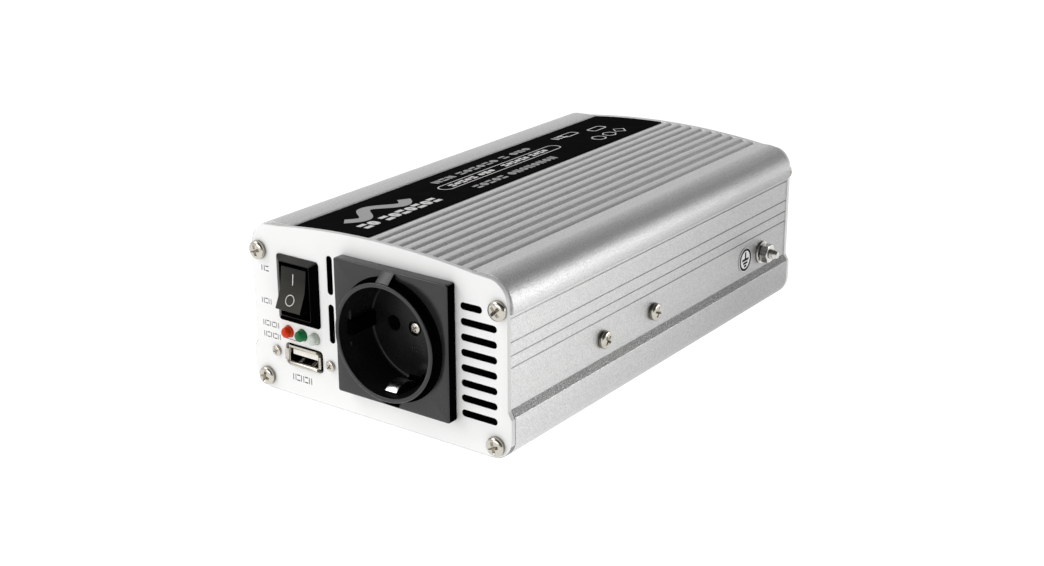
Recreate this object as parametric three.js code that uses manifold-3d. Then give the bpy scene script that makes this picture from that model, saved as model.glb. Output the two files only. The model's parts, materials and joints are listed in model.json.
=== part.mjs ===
// Modified-sine power inverter: two aluminium extrusions closed by a front and a rear panel, with an
// earthed mains socket, rocker switch, USB port and lamps in front, and a fan and two screw terminals behind.
//
// Millimetres, +Z up. The origin is the middle of the flat underside. The front panel faces -Y.

import * as THREE from 'three';
import { mergeVertices } from 'three/addons/utils/BufferGeometryUtils.js';
import Module from 'manifold-3d';

const wasm = await Module();
wasm.setup();

// ---------------------------------------------------------------- driving dimensions

const BODY_LENGTH = 200; // outer face of the front panel to outer face of the rear panel
const PANEL_THICKNESS = 2;
const FIT_GAP = 0.1; // between pieces that lie flat against each other
const CLEARANCE = 0.3; // round shanks in holes, pieces beside each other, and under a knob or nut

const FRONT_Y = -BODY_LENGTH / 2;
const REAR_Y = BODY_LENGTH / 2;
const EXTRUSION_HALF = BODY_LENGTH / 2 - PANEL_THICKNESS - FIT_GAP;

// cross-section of the case
const WALL_X = 57; // outer face of the side walls
const WALL_THICKNESS = 2;
const FLANGE_X = 59; // outer face of the base tray's flanges
const FLANGE_TOP_Z = 16.1;
const PART_LINE_Z = 18.4; // where the upper case stands on the base tray
const CREST_Z = 67.3; // top of the arch at the middle
const ARCH_FALL = 0.0015; // the arch drops by this times x squared
const ROOF_THICKNESS = 3.3;
const CORNER_X = 47.5; // centre of the round upper corner
const CORNER_Z = 54.1;
const CORNER_R = 10.9;
const NUB_Z = 52.2; // underside of the corner, where it steps back to the wall
const LOWER_CORNER_R = 8;

// grooves of the roof and walls
const RIB_EDGE_X = 41;
const RIB_PITCH = 4.985;
const RIB_COUNT = 9;
const RIB_DEPTH = 1.3;
const RIB_STEPS = 6;
const WALL_GROOVES_Z = [33.45, 37.7, 42.5, 50.9];
const WALL_GROOVE_DEPTH = 0.5;
const WALL_GROOVE_HALF = 0.4;

// printed label strip, in its own shallow bed on the roof
const LABEL_X0 = -38.1;
const LABEL_X1 = -4.5;
const LABEL_THICKNESS = 0.4;
const LABEL_BED_DEPTH = 0.65;

// panel screws: upper pair in the case's channels, lower pair in the tray's
const UPPER_SCREW = { x: 53.85, z: 53.9 };
const LOWER_SCREW = { x: 52.6, z: 5.0 };
const SCREW = { shankR: 1.45, headR: 3.55, headHeight: 2.4, length: 12 };
const SIDE_SCREW = { shankR: 1.45, headR: 3.4, headHeight: 2.2, length: 9.6 };
const SIDE_SCREW_Y = [-41.8, -7.5];
const SIDE_SCREW_Z = 25.5;
const HOLE_R = SCREW.shankR + CLEARANCE;

// things on the front panel
const SOCKET = { x: 11, z: 35, plate: 50, plateProud: 4.5, ringR: 21.5, ringProud: 8.85, cupR: 19.85 };
const SOCKET_DEPTH = 17.5;
const PIN_OFFSET = 9.5;
const PIN_HOLE_R = 3;
const SWITCH = { x: -35.2, z: 41.7, width: 19.9, height: 25.3, proud: 2.2, openWidth: 13.9, openLow: -9.8, openHigh: 10.5 };
const SWITCH_BODY = { width: 17, height: 22.4, depth: 19 };
const ROCKER = { width: 12, halfLength: 7.85, reach: 5.1, pivotDepth: 1.6, tilt: 15.5, dish: 9 };
const USB = { x: -34.1, z: 16.1, width: 17.2, height: 7.8, bodyWidth: 14.6, bodyHeight: 6.4, proud: 1.1 };
const USB_MOUTH = { width: 13.2, height: 5.2 };
const USB_SCREW_X = [-47.4, -21.2];
const USB_SCREW = { shankR: 0.95, headR: 2, headHeight: 1.2, length: 16.5 };
const LED = { z: 24.8, radius: 2.1, proud: 3.2, flangeR: 2.6 };
const LED_X = { red: -41.2, green: -34.6, clear: -28.4 };
const SLOT_HEIGHT = 2.5;
const SIDE_SLOTS = { count: 8, x0: 38, x1: 52.9, shortX1: 46.9, topZ: 52.2, pitch: 5.53 };
const TALL_SLOTS = { x: -20, spans: [[43.4, 57.9], [25, 39.7]] };

// things on the rear panel and on the right wall
const FAN = { x: 22, z: 34, size: 50, depth: 15, ductR: 23.4, hubR: 10.5, bladeR: 22.4, blades: 7 };
const GRILLE_RINGS = [[5, 8.5], [11, 14.5], [17, 20.5]];
const TERMINAL = { x: -30, z: 35, spacing: 24, blockWidth: 48, blockHeight: 22, blockDepth: 4, collarR: 8.5 };
const POST_R = 3;
const WASHER_THICKNESS = 1.2;
const KNOB = { radius: 8.2, length: 15, lobes: 14, groove: 0.7 };
const EARTH = { y: 77.5, z: 25.2, studR: 2, reach: 7.7, washerR: 4.75, nutAcross: 7 };
const EARTH_LABEL = { y: 63.3, z: 25.8, radius: 5, thickness: 0.3 };

// inside
const BOARD = { halfWidth: 52.3, y0: -68, y1: 80, z0: 11, thickness: 1.6 };
const BOARD_TOP = BOARD.z0 + BOARD.thickness;
const UPSTAND = { x0: 52.7, x1: 54.7, topZ: 30 };
const CLAMP_BAR = { x0: 47.2, x1: 52.4, y0: -60, y1: 10, z0: 20, z1: 31 };

// ---------------------------------------------------------------- materials

function paint(color, roughness, metalness) {
  return new THREE.MeshStandardMaterial({ color, roughness, metalness });
}

const aluminium = () => paint(0xbfc1c2, 0.45, 0.9);
const whitePaint = () => paint(0xf2f2f0, 0.45, 0);
const steel = () => paint(0xc9c5bb, 0.25, 1);
const brass = () => paint(0xb89a55, 0.3, 1);
const copper = () => paint(0xa85a2c, 0.4, 0.9);
const blackPlastic = () => paint(0x2b2b2c, 0.4, 0);
const redPlastic = () => paint(0xb5211b, 0.4, 0);
const boardGreen = () => paint(0x1f5a34, 0.5, 0);
const ferrite = () => paint(0x2f3032, 0.7, 0.1);
const capacitorSleeve = () => paint(0x1b2a55, 0.35, 0);

// ---------------------------------------------------------------- shape tools

function solidOf(geometry) {
  const bare = geometry.clone();
  bare.deleteAttribute('normal');
  bare.deleteAttribute('uv');
  const merged = mergeVertices(bare, 1e-4);
  const index = merged.index.array;
  const triangles = [];
  for (let i = 0; i < index.length; i += 3) {
    const [a, b, c] = [index[i], index[i + 1], index[i + 2]];
    if (a !== b && b !== c && c !== a) triangles.push(a, b, c);
  }
  const vertProperties = Float32Array.from(merged.attributes.position.array);
  const mesh = new wasm.Mesh({ numProp: 3, vertProperties, triVerts: Uint32Array.from(triangles) });
  return new wasm.Manifold(mesh);
}

function geometryOf(solid) {
  const mesh = solid.getMesh();
  const geometry = new THREE.BufferGeometry();
  geometry.setAttribute('position', new THREE.BufferAttribute(Float32Array.from(mesh.vertProperties), 3));
  geometry.setIndex(new THREE.BufferAttribute(Uint32Array.from(mesh.triVerts), 1));
  return geometry;
}

function join(...solids) {
  return solids.reduce((whole, piece) => whole.add(piece));
}

function cut(body, tools) {
  return tools.reduce((rest, tool) => rest.subtract(tool), body);
}

function box(x0, x1, y0, y1, z0, z1) {
  const geometry = new THREE.BoxGeometry(x1 - x0, y1 - y0, z1 - z0);
  return solidOf(geometry.translate((x0 + x1) / 2, (y0 + y1) / 2, (z0 + z1) / 2));
}

function rodY(x, z, radius, y0, y1, segments = 20) {
  const geometry = new THREE.CylinderGeometry(radius, radius, y1 - y0, segments);
  return solidOf(geometry.translate(x, (y0 + y1) / 2, z));
}

function rodX(y, z, radius, x0, x1, segments = 16) {
  const geometry = new THREE.CylinderGeometry(radius, radius, x1 - x0, segments);
  geometry.rotateZ(-Math.PI / 2);
  return solidOf(geometry.translate((x0 + x1) / 2, y, z));
}

function rodZ(x, y, radius, z0, z1, segments = 24) {
  const geometry = new THREE.CylinderGeometry(radius, radius, z1 - z0, segments);
  geometry.rotateX(Math.PI / 2);
  return solidOf(geometry.translate(x, y, (z0 + z1) / 2));
}

// Turned piece about the Y axis; the profile is a list of [radius, y] with y rising.
function turned(profile, segments) {
  const points = profile.map(([radius, y]) => new THREE.Vector2(radius, y));
  return solidOf(new THREE.LatheGeometry(points, segments));
}

// Outline in the XZ plane, run along Y.
function prismY(outline, y0, y1) {
  const geometry = new THREE.ExtrudeGeometry(outline, { depth: y1 - y0, bevelEnabled: false });
  return solidOf(geometry.rotateX(Math.PI / 2).translate(0, y1, 0));
}

// Outline in the YZ plane, run along X.
function prismX(outline, x0, x1) {
  const geometry = new THREE.ExtrudeGeometry(outline, { depth: x1 - x0, bevelEnabled: false });
  const turn = new THREE.Matrix4().set(0, 0, 1, x0, 1, 0, 0, 0, 0, 1, 0, 0, 0, 0, 0, 1);
  return solidOf(geometry.applyMatrix4(turn));
}

function arc(cx, cz, radius, startDegrees, endDegrees, steps) {
  const points = [];
  for (let i = 0; i <= steps; i += 1) {
    const angle = THREE.MathUtils.degToRad(startDegrees + ((endDegrees - startDegrees) * i) / steps);
    points.push(new THREE.Vector2(cx + radius * Math.cos(angle), cz + radius * Math.sin(angle)));
  }
  return points;
}

function outlineOf(pairs) {
  return new THREE.Shape(pairs.map((p) => (p.isVector2 ? p : new THREE.Vector2(p[0], p[1]))));
}

function mirrored(points) {
  return points.map((p) => new THREE.Vector2(-p.x, p.y)).reverse();
}

function roundedRectangle(cx, cz, width, height, radius, steps = 4) {
  const dx = width / 2 - radius;
  const dz = height / 2 - radius;
  return outlineOf([
    ...arc(cx + dx, cz + dz, radius, 0, 90, steps),
    ...arc(cx - dx, cz + dz, radius, 90, 180, steps),
    ...arc(cx - dx, cz - dz, radius, 180, 270, steps),
    ...arc(cx + dx, cz - dz, radius, 270, 360, steps),
  ]);
}

// Block whose front rectangle (at yFront) differs in size from its back rectangle.
function taperedBlock(yBack, widthBack, heightBack, yFront, widthFront, heightFront) {
  const geometry = new THREE.BoxGeometry(1, 1, 1);
  const place = geometry.attributes.position;
  for (let i = 0; i < place.count; i += 1) {
    const back = place.getY(i) > 0;
    const x = place.getX(i) * (back ? widthBack : widthFront);
    const z = place.getZ(i) * (back ? heightBack : heightFront);
    place.setXYZ(i, x, back ? yBack : yFront, z);
  }
  return solidOf(geometry);
}

function ringY(outerR, innerR, y0, y1, segments) {
  return rodY(0, 0, outerR, y0, y1, segments).subtract(rodY(0, 0, innerR, y0 - 1, y1 + 1, segments));
}

function node(name, solid, material) {
  const mesh = new THREE.Mesh(geometryOf(solid), material);
  mesh.name = name;
  return mesh;
}

// ---------------------------------------------------------------- screws

// Pan-head cross-recess screw along +Y: the head's underside is at y = 0 and the shank runs to -length.
function panScrew({ shankR, headR, headHeight, length }) {
  const profile = [
    [0, -length],
    [shankR, -length],
    [shankR, 0],
    [headR, 0],
    [headR, headHeight * 0.4],
    [headR * 0.76, headHeight * 0.86],
    [headR * 0.4, headHeight],
    [0, headHeight],
  ];
  const recessHalf = headR * 0.5;
  const recessWide = headR * 0.13;
  const recessFloor = headHeight * 0.45;
  const cross = join(
    box(-recessHalf, recessHalf, recessFloor, headHeight + 1, -recessWide, recessWide),
    box(-recessWide, recessWide, recessFloor, headHeight + 1, -recessHalf, recessHalf),
  );
  return turned(profile, 16).subtract(cross);
}

function screwNode(name, size, x, y, z, direction) {
  const mesh = node(name, panScrew(size), steel());
  const turns = { front: [Math.PI, 0, 0], rear: [0, 0, 0], right: [0, 0, -Math.PI / 2], left: [0, 0, Math.PI / 2] };
  mesh.rotation.set(...turns[direction]);
  mesh.position.set(x, y, z);
  return mesh;
}

// ---------------------------------------------------------------- case extrusions

function archZ(x) {
  return CREST_Z - ARCH_FALL * x * x;
}

// Roof line of the ribbed side, from the right edge inwards: rounded ridges between narrow grooves.
function ribbedRoof() {
  const points = [];
  for (let rib = 0; rib < RIB_COUNT; rib += 1) {
    for (let step = 0; step < RIB_STEPS; step += 1) {
      const across = step / RIB_STEPS;
      const x = RIB_EDGE_X - RIB_PITCH * (rib + across);
      const drop = RIB_DEPTH * Math.abs(2 * across - 1) ** 3;
      points.push(new THREE.Vector2(x, archZ(x) - drop));
    }
  }
  const lastX = RIB_EDGE_X - RIB_PITCH * RIB_COUNT;
  points.push(new THREE.Vector2(lastX, archZ(lastX) - RIB_DEPTH));
  return points;
}

function labelBed(depth) {
  const points = [];
  const steps = 8;
  for (let step = 0; step <= steps; step += 1) {
    const x = THREE.MathUtils.lerp(LABEL_X1 + CLEARANCE, LABEL_X0 - CLEARANCE, step / steps);
    points.push(new THREE.Vector2(x, archZ(x) - depth));
  }
  return points;
}

// Outer line of one side: wall with its grooves, then the round corner up to the flat band.
function wallAndCorner() {
  const points = [new THREE.Vector2(WALL_X, PART_LINE_Z + FIT_GAP)];
  for (const z of WALL_GROOVES_Z) {
    points.push(new THREE.Vector2(WALL_X, z - WALL_GROOVE_HALF));
    points.push(new THREE.Vector2(WALL_X - WALL_GROOVE_DEPTH, z));
    points.push(new THREE.Vector2(WALL_X, z + WALL_GROOVE_HALF));
  }
  points.push(new THREE.Vector2(WALL_X, NUB_Z));
  points.push(new THREE.Vector2(WALL_X + 0.9, NUB_Z + 0.35));
  return [...points, ...arc(CORNER_X, CORNER_Z, CORNER_R, -3, 90, 10)];
}

// Inner line of one side: wall, screw channel bulging inwards, slope up to the roof.
function innerSide() {
  const innerX = WALL_X - WALL_THICKNESS;
  const roofX = 44;
  return [
    new THREE.Vector2(innerX, PART_LINE_Z + FIT_GAP),
    new THREE.Vector2(innerX, UPPER_SCREW.z - 3.3),
    ...arc(UPPER_SCREW.x, UPPER_SCREW.z, 3.5, -80, -230, 7),
    new THREE.Vector2(roofX, archZ(roofX) - ROOF_THICKNESS),
  ];
}

function innerRoof() {
  const points = [];
  for (let x = 33; x >= -33; x -= 11) points.push(new THREE.Vector2(x, archZ(x) - ROOF_THICKNESS));
  return points;
}

function upperCase() {
  const side = wallAndCorner();
  const inner = [...innerSide(), ...innerRoof(), ...mirrored(innerSide())];
  const outline = outlineOf([
    ...side,
    [RIB_EDGE_X + 0.9, archZ(RIB_EDGE_X + 0.9)],
    ...ribbedRoof(),
    ...labelBed(LABEL_BED_DEPTH),
    [LABEL_X0 - CLEARANCE - 0.3, archZ(LABEL_X0)],
    ...mirrored(side),
    ...inner.reverse(),
  ]);
  const shell = prismY(outline, -EXTRUSION_HALF, EXTRUSION_HALF);
  const channels = [-1, 1].map((side_) =>
    rodY(side_ * UPPER_SCREW.x, UPPER_SCREW.z, HOLE_R, -EXTRUSION_HALF - 1, EXTRUSION_HALF + 1, 10));
  return node('upper_case', cut(shell, [...channels, ...wallHoles()]), aluminium());
}

// Holes through both side walls for the clamp screws, and through the right wall for the earth stud.
function wallHoles() {
  const holes = [];
  for (const y of SIDE_SCREW_Y) {
    holes.push(rodX(y, SIDE_SCREW_Z, HOLE_R, CLAMP_BAR.x0 - 1, FLANGE_X + 1, 10));
    holes.push(rodX(y, SIDE_SCREW_Z, HOLE_R, -FLANGE_X - 1, -CLAMP_BAR.x0 + 1, 10));
  }
  holes.push(rodX(EARTH.y, EARTH.z, EARTH.studR + CLEARANCE, UPSTAND.x0 - 1, FLANGE_X + 1, 12));
  return holes;
}

function trayHalf() {
  return [
    new THREE.Vector2(FLANGE_X - LOWER_CORNER_R, 0),
    ...arc(FLANGE_X - LOWER_CORNER_R, LOWER_CORNER_R, LOWER_CORNER_R, -75, 0, 5),
    new THREE.Vector2(FLANGE_X, FLANGE_TOP_Z),
    new THREE.Vector2(WALL_X, PART_LINE_Z),
    new THREE.Vector2(UPSTAND.x1, PART_LINE_Z),
    new THREE.Vector2(UPSTAND.x1, UPSTAND.topZ),
    new THREE.Vector2(UPSTAND.x0, UPSTAND.topZ),
    new THREE.Vector2(UPSTAND.x0, BOARD.z0 - CLEARANCE),
    new THREE.Vector2(49, BOARD.z0 - CLEARANCE),
    new THREE.Vector2(49, 3.6),
    new THREE.Vector2(47.6, 2.2),
  ];
}

function baseTray() {
  const half = trayHalf();
  const tray = prismY(outlineOf([...half, ...mirrored(half)]), -EXTRUSION_HALF, EXTRUSION_HALF);
  const channels = [-1, 1].map((side) =>
    rodY(side * LOWER_SCREW.x, LOWER_SCREW.z, HOLE_R, -EXTRUSION_HALF - 1, EXTRUSION_HALF + 1, 10));
  return node('base_tray', cut(tray, [...channels, ...wallHoles()]), aluminium());
}

// ---------------------------------------------------------------- panels

function panelOutline() {
  const bottomZ = 0.15;
  const cornerR = 8.25;
  const archSteps = 12;
  const shoulderX = 44;
  const half = [
    ...arc(FLANGE_X - LOWER_CORNER_R, LOWER_CORNER_R, LOWER_CORNER_R - bottomZ, -90, 0, 6),
    new THREE.Vector2(FLANGE_X - bottomZ, FLANGE_TOP_Z - 0.4),
    new THREE.Vector2(WALL_X + 0.3, PART_LINE_Z - 0.5),
    ...arc(WALL_X + 0.3 - cornerR, 55.9, cornerR, 0, 80, 8),
  ];
  const top = [];
  for (let step = 0; step <= archSteps; step += 1) {
    const x = shoulderX * (1 - (2 * step) / archSteps);
    top.push(new THREE.Vector2(x, archZ(x) + 0.1));
  }
  return outlineOf([...half, ...top, ...mirrored(half)]);
}

function slotTool(x0, x1, z, height, y0, y1) {
  return prismY(roundedRectangle((x0 + x1) / 2, z, x1 - x0, height, height / 2 - 0.01, 3), y0, y1);
}

function panelScrewHoles(y0, y1) {
  const holes = [];
  for (const side of [-1, 1]) {
    for (const place of [UPPER_SCREW, LOWER_SCREW]) {
      holes.push(rodY(side * place.x, place.z, HOLE_R, y0, y1, 12));
    }
  }
  return holes;
}

function frontPanel() {
  const y0 = FRONT_Y - 1;
  const y1 = FRONT_Y + PANEL_THICKNESS + 1;
  const panel = prismY(panelOutline(), FRONT_Y, FRONT_Y + PANEL_THICKNESS);
  const tools = [
    ...panelScrewHoles(y0, y1),
    rodY(SOCKET.x, SOCKET.z, SOCKET.ringR + CLEARANCE, y0, y1, 40),
    box(
      SWITCH.x - SWITCH_BODY.width / 2 - CLEARANCE,
      SWITCH.x + SWITCH_BODY.width / 2 + CLEARANCE,
      y0,
      y1,
      SWITCH.z - SWITCH_BODY.height / 2 - CLEARANCE,
      SWITCH.z + SWITCH_BODY.height / 2 + CLEARANCE,
    ),
    prismY(roundedRectangle(USB.x, USB.z, USB.bodyWidth + 0.6, USB.bodyHeight + 0.6, 0.8, 2), y0, y1),
  ];
  for (const x of USB_SCREW_X) tools.push(rodY(x, USB.z, USB_SCREW.shankR + CLEARANCE, y0, y1, 10));
  for (const x of Object.values(LED_X)) tools.push(rodY(x, LED.z, LED.radius + 0.2, y0, y1, 16));
  for (let i = 0; i < SIDE_SLOTS.count; i += 1) {
    const x1 = i === 0 ? SIDE_SLOTS.shortX1 : SIDE_SLOTS.x1;
    tools.push(slotTool(SIDE_SLOTS.x0, x1, SIDE_SLOTS.topZ - i * SIDE_SLOTS.pitch, SLOT_HEIGHT, y0, y1));
  }
  for (const [low, high] of TALL_SLOTS.spans) {
    const outline = roundedRectangle(TALL_SLOTS.x, (low + high) / 2, SLOT_HEIGHT, high - low, SLOT_HEIGHT / 2 - 0.01, 3);
    tools.push(prismY(outline, y0, y1));
  }
  return node('front_panel', cut(panel, tools), whitePaint());
}

function rearPanel() {
  const y0 = REAR_Y - PANEL_THICKNESS - 1;
  const y1 = REAR_Y + 1;
  const panel = prismY(panelOutline(), REAR_Y - PANEL_THICKNESS, REAR_Y);
  const spokes = join(
    box(-FAN.size, FAN.size, y0 - 1, y1 + 1, -1.2, 1.2),
    box(-1.2, 1.2, y0 - 1, y1 + 1, -FAN.size, FAN.size),
  );
  const tools = panelScrewHoles(y0, y1);
  for (const [inner, outer] of GRILLE_RINGS) {
    tools.push(ringY(outer, inner, y0, y1, 28).subtract(spokes).translate([FAN.x, 0, FAN.z]));
  }
  for (const side of [-1, 1]) {
    tools.push(rodY(TERMINAL.x + (side * TERMINAL.spacing) / 2, TERMINAL.z, 5.3, y0, y1, 16));
  }
  return node('rear_panel', cut(panel, tools), whitePaint());
}

// ---------------------------------------------------------------- labels

function labelPlate() {
  const top = LABEL_BED_DEPTH - FIT_GAP - LABEL_THICKNESS;
  const steps = 8;
  const upper = [];
  for (let step = 0; step <= steps; step += 1) {
    const x = THREE.MathUtils.lerp(LABEL_X1, LABEL_X0, step / steps);
    upper.push(new THREE.Vector2(x, archZ(x) - top));
  }
  const lower = upper.map((p) => new THREE.Vector2(p.x, p.y - LABEL_THICKNESS)).reverse();
  const strip = prismY(outlineOf([...upper, ...lower]), -EXTRUSION_HALF + 0.3, EXTRUSION_HALF - 0.3);
  return node('label_plate', strip, paint(0x101012, 0.35, 0));
}

function earthSymbolLabel() {
  const x0 = WALL_X + FIT_GAP;
  const disc = rodX(EARTH_LABEL.y, EARTH_LABEL.z, EARTH_LABEL.radius, x0, x0 + EARTH_LABEL.thickness, 24);
  return node('earth_symbol_label', disc, paint(0xe8e8e6, 0.4, 0));
}

// ---------------------------------------------------------------- mains socket (local origin: its centre on the panel face)

function socketCover() {
  const half = SOCKET.plate / 2;
  const floorY = SOCKET_DEPTH - SOCKET.ringProud;
  const backY = floorY + 2;
  const edge = 1;
  const face = taperedBlock(
    -SOCKET.plateProud + edge,
    SOCKET.plate,
    SOCKET.plate,
    -SOCKET.plateProud,
    SOCKET.plate - edge,
    SOCKET.plate - edge,
  );
  const slab = box(-half, half, -SOCKET.plateProud + edge, -FIT_GAP, -half, half);
  const sleeve = rodY(0, 0, SOCKET.ringR, -SOCKET.ringProud, backY, 40);
  const gussetFront = -SOCKET.ringProud + 0.7;
  const gussetTop = half - 0.3;
  const gusset = outlineOf([
    [gussetFront, 20.6],
    [-SOCKET.plateProud + 0.5, 20.6],
    [-SOCKET.plateProud + 0.5, gussetTop],
    [-SOCKET.plateProud, gussetTop],
    [gussetFront, SOCKET.ringR],
  ]);
  const upperGusset = prismX(gusset, -2.8, 2.8);
  const gussets = [upperGusset, upperGusset.rotate([0, 180, 0])];
  const hollow = rodY(0, 0, SOCKET.cupR, -SOCKET.ringProud - 1, floorY, 40);
  const ridges = [-1, 1].map((side) =>
    box(side > 0 ? 17.4 : -20.6, side > 0 ? 20.6 : -17.4, -SOCKET.ringProud + 4, floorY + 0.5, -2.4, 2.4));
  const holes = [
    rodY(-PIN_OFFSET, 0, PIN_HOLE_R, floorY - 1, backY + 1, 20),
    rodY(PIN_OFFSET, 0, PIN_HOLE_R, floorY - 1, backY + 1, 20),
    rodY(0, 0, 2.8, floorY - 1, floorY + 1, 16),
    rodY(0, 0, 1.8, floorY - 1, backY + 1, 12),
    box(-3.1, 3.1, 3, floorY + 0.1, 18, 23),
    box(-3.1, 3.1, 3, floorY + 0.1, -23, -18),
  ];
  const blank = join(face, slab, sleeve, ...gussets).subtract(hollow);
  return node('socket_cover', cut(join(blank, ...ridges), holes), blackPlastic());
}

// Spring strap: a back strip with one arm above and one below that enter the cup through its side windows.
function socketEarthClip() {
  const thickness = 0.7;
  const half = 2.5;
  const line = [
    [13.4, 0],
    [13.4, 22.6],
    [6.9, 22.6],
    [5, 18.9],
    [1, 17.2],
    [-4.6, 18.9],
  ];
  const inner = line.map(([y, z], i) => {
    const previous = line[Math.max(i - 1, 0)];
    const next = line[Math.min(i + 1, line.length - 1)];
    const along = new THREE.Vector2(next[0] - previous[0], next[1] - previous[1]).normalize();
    return [y - along.y * thickness, i === 0 ? 0 : z + along.x * thickness];
  });
  const profile = [...line.slice(1), ...inner.slice(1).reverse()];
  const mirror = profile.map(([y, z]) => [y, -z]).reverse();
  const strap = prismX(outlineOf([...profile, ...mirror]), -half, half);
  const screwHole = rodY(0, 0, 1.8, 10, 16, 12);
  return node('socket_earth_clip', strap.subtract(screwHole), steel());
}

function socketContact(name, side) {
  const start = SOCKET_DEPTH - SOCKET.ringProud + 2 + CLEARANCE;
  const tube = ringY(3.3, 2.5, start, start + 13, 16);
  const slit = box(side > 0 ? 0 : -5, side > 0 ? 5 : 0, start - 1, start + 10, -0.5, 0.5);
  return node(name, tube.subtract(slit).translate([side * PIN_OFFSET, 0, 0]), brass());
}

function socketRearHousing() {
  const y0 = 14.6;
  const depth = 12;
  const outer = prismY(roundedRectangle(0, 0, 40, 36, 4, 3), y0, y0 + depth);
  const wells = [-1, 1].map((side) => rodY(side * PIN_OFFSET, 0, 3.6, y0 - 1, y0 + depth - 1.5, 20));
  return node('socket_rear_housing', cut(outer, [...wells, rodY(0, 0, 1.8, y0 - 1, y0 + depth + 1, 12)]), blackPlastic());
}

function socketGroup() {
  const group = new THREE.Group();
  group.position.set(SOCKET.x, FRONT_Y, SOCKET.z);
  const screw = { shankR: 1.45, headR: 2.2, headHeight: 1.4, length: 15 };
  const floorY = SOCKET_DEPTH - SOCKET.ringProud;
  group.add(
    socketCover(),
    socketEarthClip(),
    socketContact('socket_contact_left', -1),
    socketContact('socket_contact_right', 1),
    socketRearHousing(),
    screwNode('socket_center_screw', screw, 0, floorY + 1 - FIT_GAP, 0, 'front'),
  );
  return group;
}

// ---------------------------------------------------------------- rocker switch (local origin: its centre on the panel face)

function switchHousing() {
  const { width, height, depth } = SWITCH_BODY;
  const wallTop = SWITCH.openWidth + 1;
  const bezel = taperedBlock(
    -FIT_GAP,
    SWITCH.width,
    SWITCH.height,
    -SWITCH.proud,
    wallTop,
    SWITCH.openHigh * 2 + 1,
  );
  const body = box(-width / 2, width / 2, -FIT_GAP - 0.2, depth, -height / 2, height / 2);
  const cavity = box(
    -SWITCH.openWidth / 2,
    SWITCH.openWidth / 2,
    -SWITCH.proud - 1,
    13,
    SWITCH.openLow,
    SWITCH.openHigh,
  );
  const pivots = rodX(ROCKER.pivotDepth, 0, 1.35, -width, width, 12);
  return node('switch_housing', cut(join(bezel, body), [cavity, pivots]), blackPlastic());
}

// Side view of the rocker about its pivot, level: a shallow dished face in front and a keel behind.
function rockerOutline() {
  const tipReach = ROCKER.reach + ROCKER.halfLength * Math.tan(THREE.MathUtils.degToRad(ROCKER.dish));
  const half = [
    [-tipReach, ROCKER.halfLength],
    [-0.6, 7.1],
    [2.6, 3.4],
    [4.8, 1.4],
  ];
  const lower = half.map(([y, z]) => [y, -z]).reverse();
  return outlineOf([[-ROCKER.reach, 0], ...half.map((p) => p), ...lower].reverse());
}

function switchRocker() {
  const half = ROCKER.width / 2;
  const blade = prismX(rockerOutline(), -half, half);
  const pins = rodX(0, 0, 1.2, -SWITCH_BODY.width / 2 + 0.4, SWITCH_BODY.width / 2 - 0.4, 12);
  const mesh = node('switch_rocker', join(blade, pins), blackPlastic());
  mesh.position.set(0, ROCKER.pivotDepth, 0);
  mesh.rotation.x = -THREE.MathUtils.degToRad(ROCKER.tilt);
  return mesh;
}

function switchBlade(name, z) {
  const start = SWITCH_BODY.depth + FIT_GAP;
  const tongue = box(-2.4, 2.4, start, start + 8, z - 0.4, z + 0.4);
  const eye = rodZ(0, start + 5.5, 0.8, z - 2, z + 2, 10);
  return node(name, tongue.subtract(eye), brass());
}

function switchGroup() {
  const group = new THREE.Group();
  group.position.set(SWITCH.x, FRONT_Y, SWITCH.z);
  group.add(switchHousing(), switchRocker(), switchBlade('switch_blade_upper', 5), switchBlade('switch_blade_lower', -5));
  return group;
}

// ---------------------------------------------------------------- USB port and lamps (local origin: on the panel face)

function usbShell() {
  const length = 14;
  const lip = prismY(roundedRectangle(0, 0, USB.width, USB.height, 1.4, 3), -USB.proud, -FIT_GAP);
  const tube = prismY(roundedRectangle(0, 0, USB.bodyWidth, USB.bodyHeight, 0.6, 2), -0.3, length);
  const mouth = box(
    -USB_MOUTH.width / 2,
    USB_MOUTH.width / 2,
    -USB.proud - 1,
    length - 1,
    -USB_MOUTH.height / 2,
    USB_MOUTH.height / 2,
  );
  return node('usb_shell', join(lip, tube).subtract(mouth), steel());
}

function usbTongue() {
  const tongue = box(-5.6, 5.6, 0.6, 12.8, 0.3, 2.2);
  return node('usb_tongue', tongue, whitePaint());
}

function usbBoard() {
  const board = box(-15.5, 15.5, 14.3, 15.9, -5, 6.5);
  const holes = USB_SCREW_X.map((x) => rodY(x - USB.x, 0, USB_SCREW.shankR + CLEARANCE, 13, 17, 10));
  return node('usb_board', cut(board, holes), boardGreen());
}

function usbGroup() {
  const group = new THREE.Group();
  group.position.set(USB.x, FRONT_Y, USB.z);
  group.add(usbShell(), usbTongue(), usbBoard());
  USB_SCREW_X.forEach((x, i) => {
    group.add(screwNode(i === 0 ? 'usb_screw_left' : 'usb_screw_right', USB_SCREW, x - USB.x, -FIT_GAP, 0, 'front'));
  });
  return group;
}

function lamp(name, color, x) {
  const r = LED.radius;
  const tip = -LED.proud;
  const inside = PANEL_THICKNESS + FIT_GAP;
  const dome = [0, 30, 60, 90].map((a) => {
    const angle = THREE.MathUtils.degToRad(a);
    return [r * Math.sin(angle), tip + r - r * Math.cos(angle)];
  });
  const profile = [...dome, [r, inside], [LED.flangeR, inside], [LED.flangeR, inside + 1], [0, inside + 1]];
  const mesh = node(name, turned(profile, 14), paint(color, 0.15, 0));
  mesh.position.set(x, FRONT_Y, LED.z);
  return mesh;
}

// ---------------------------------------------------------------- fan (local origin: centre of its outer face, behind the rear panel)

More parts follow.
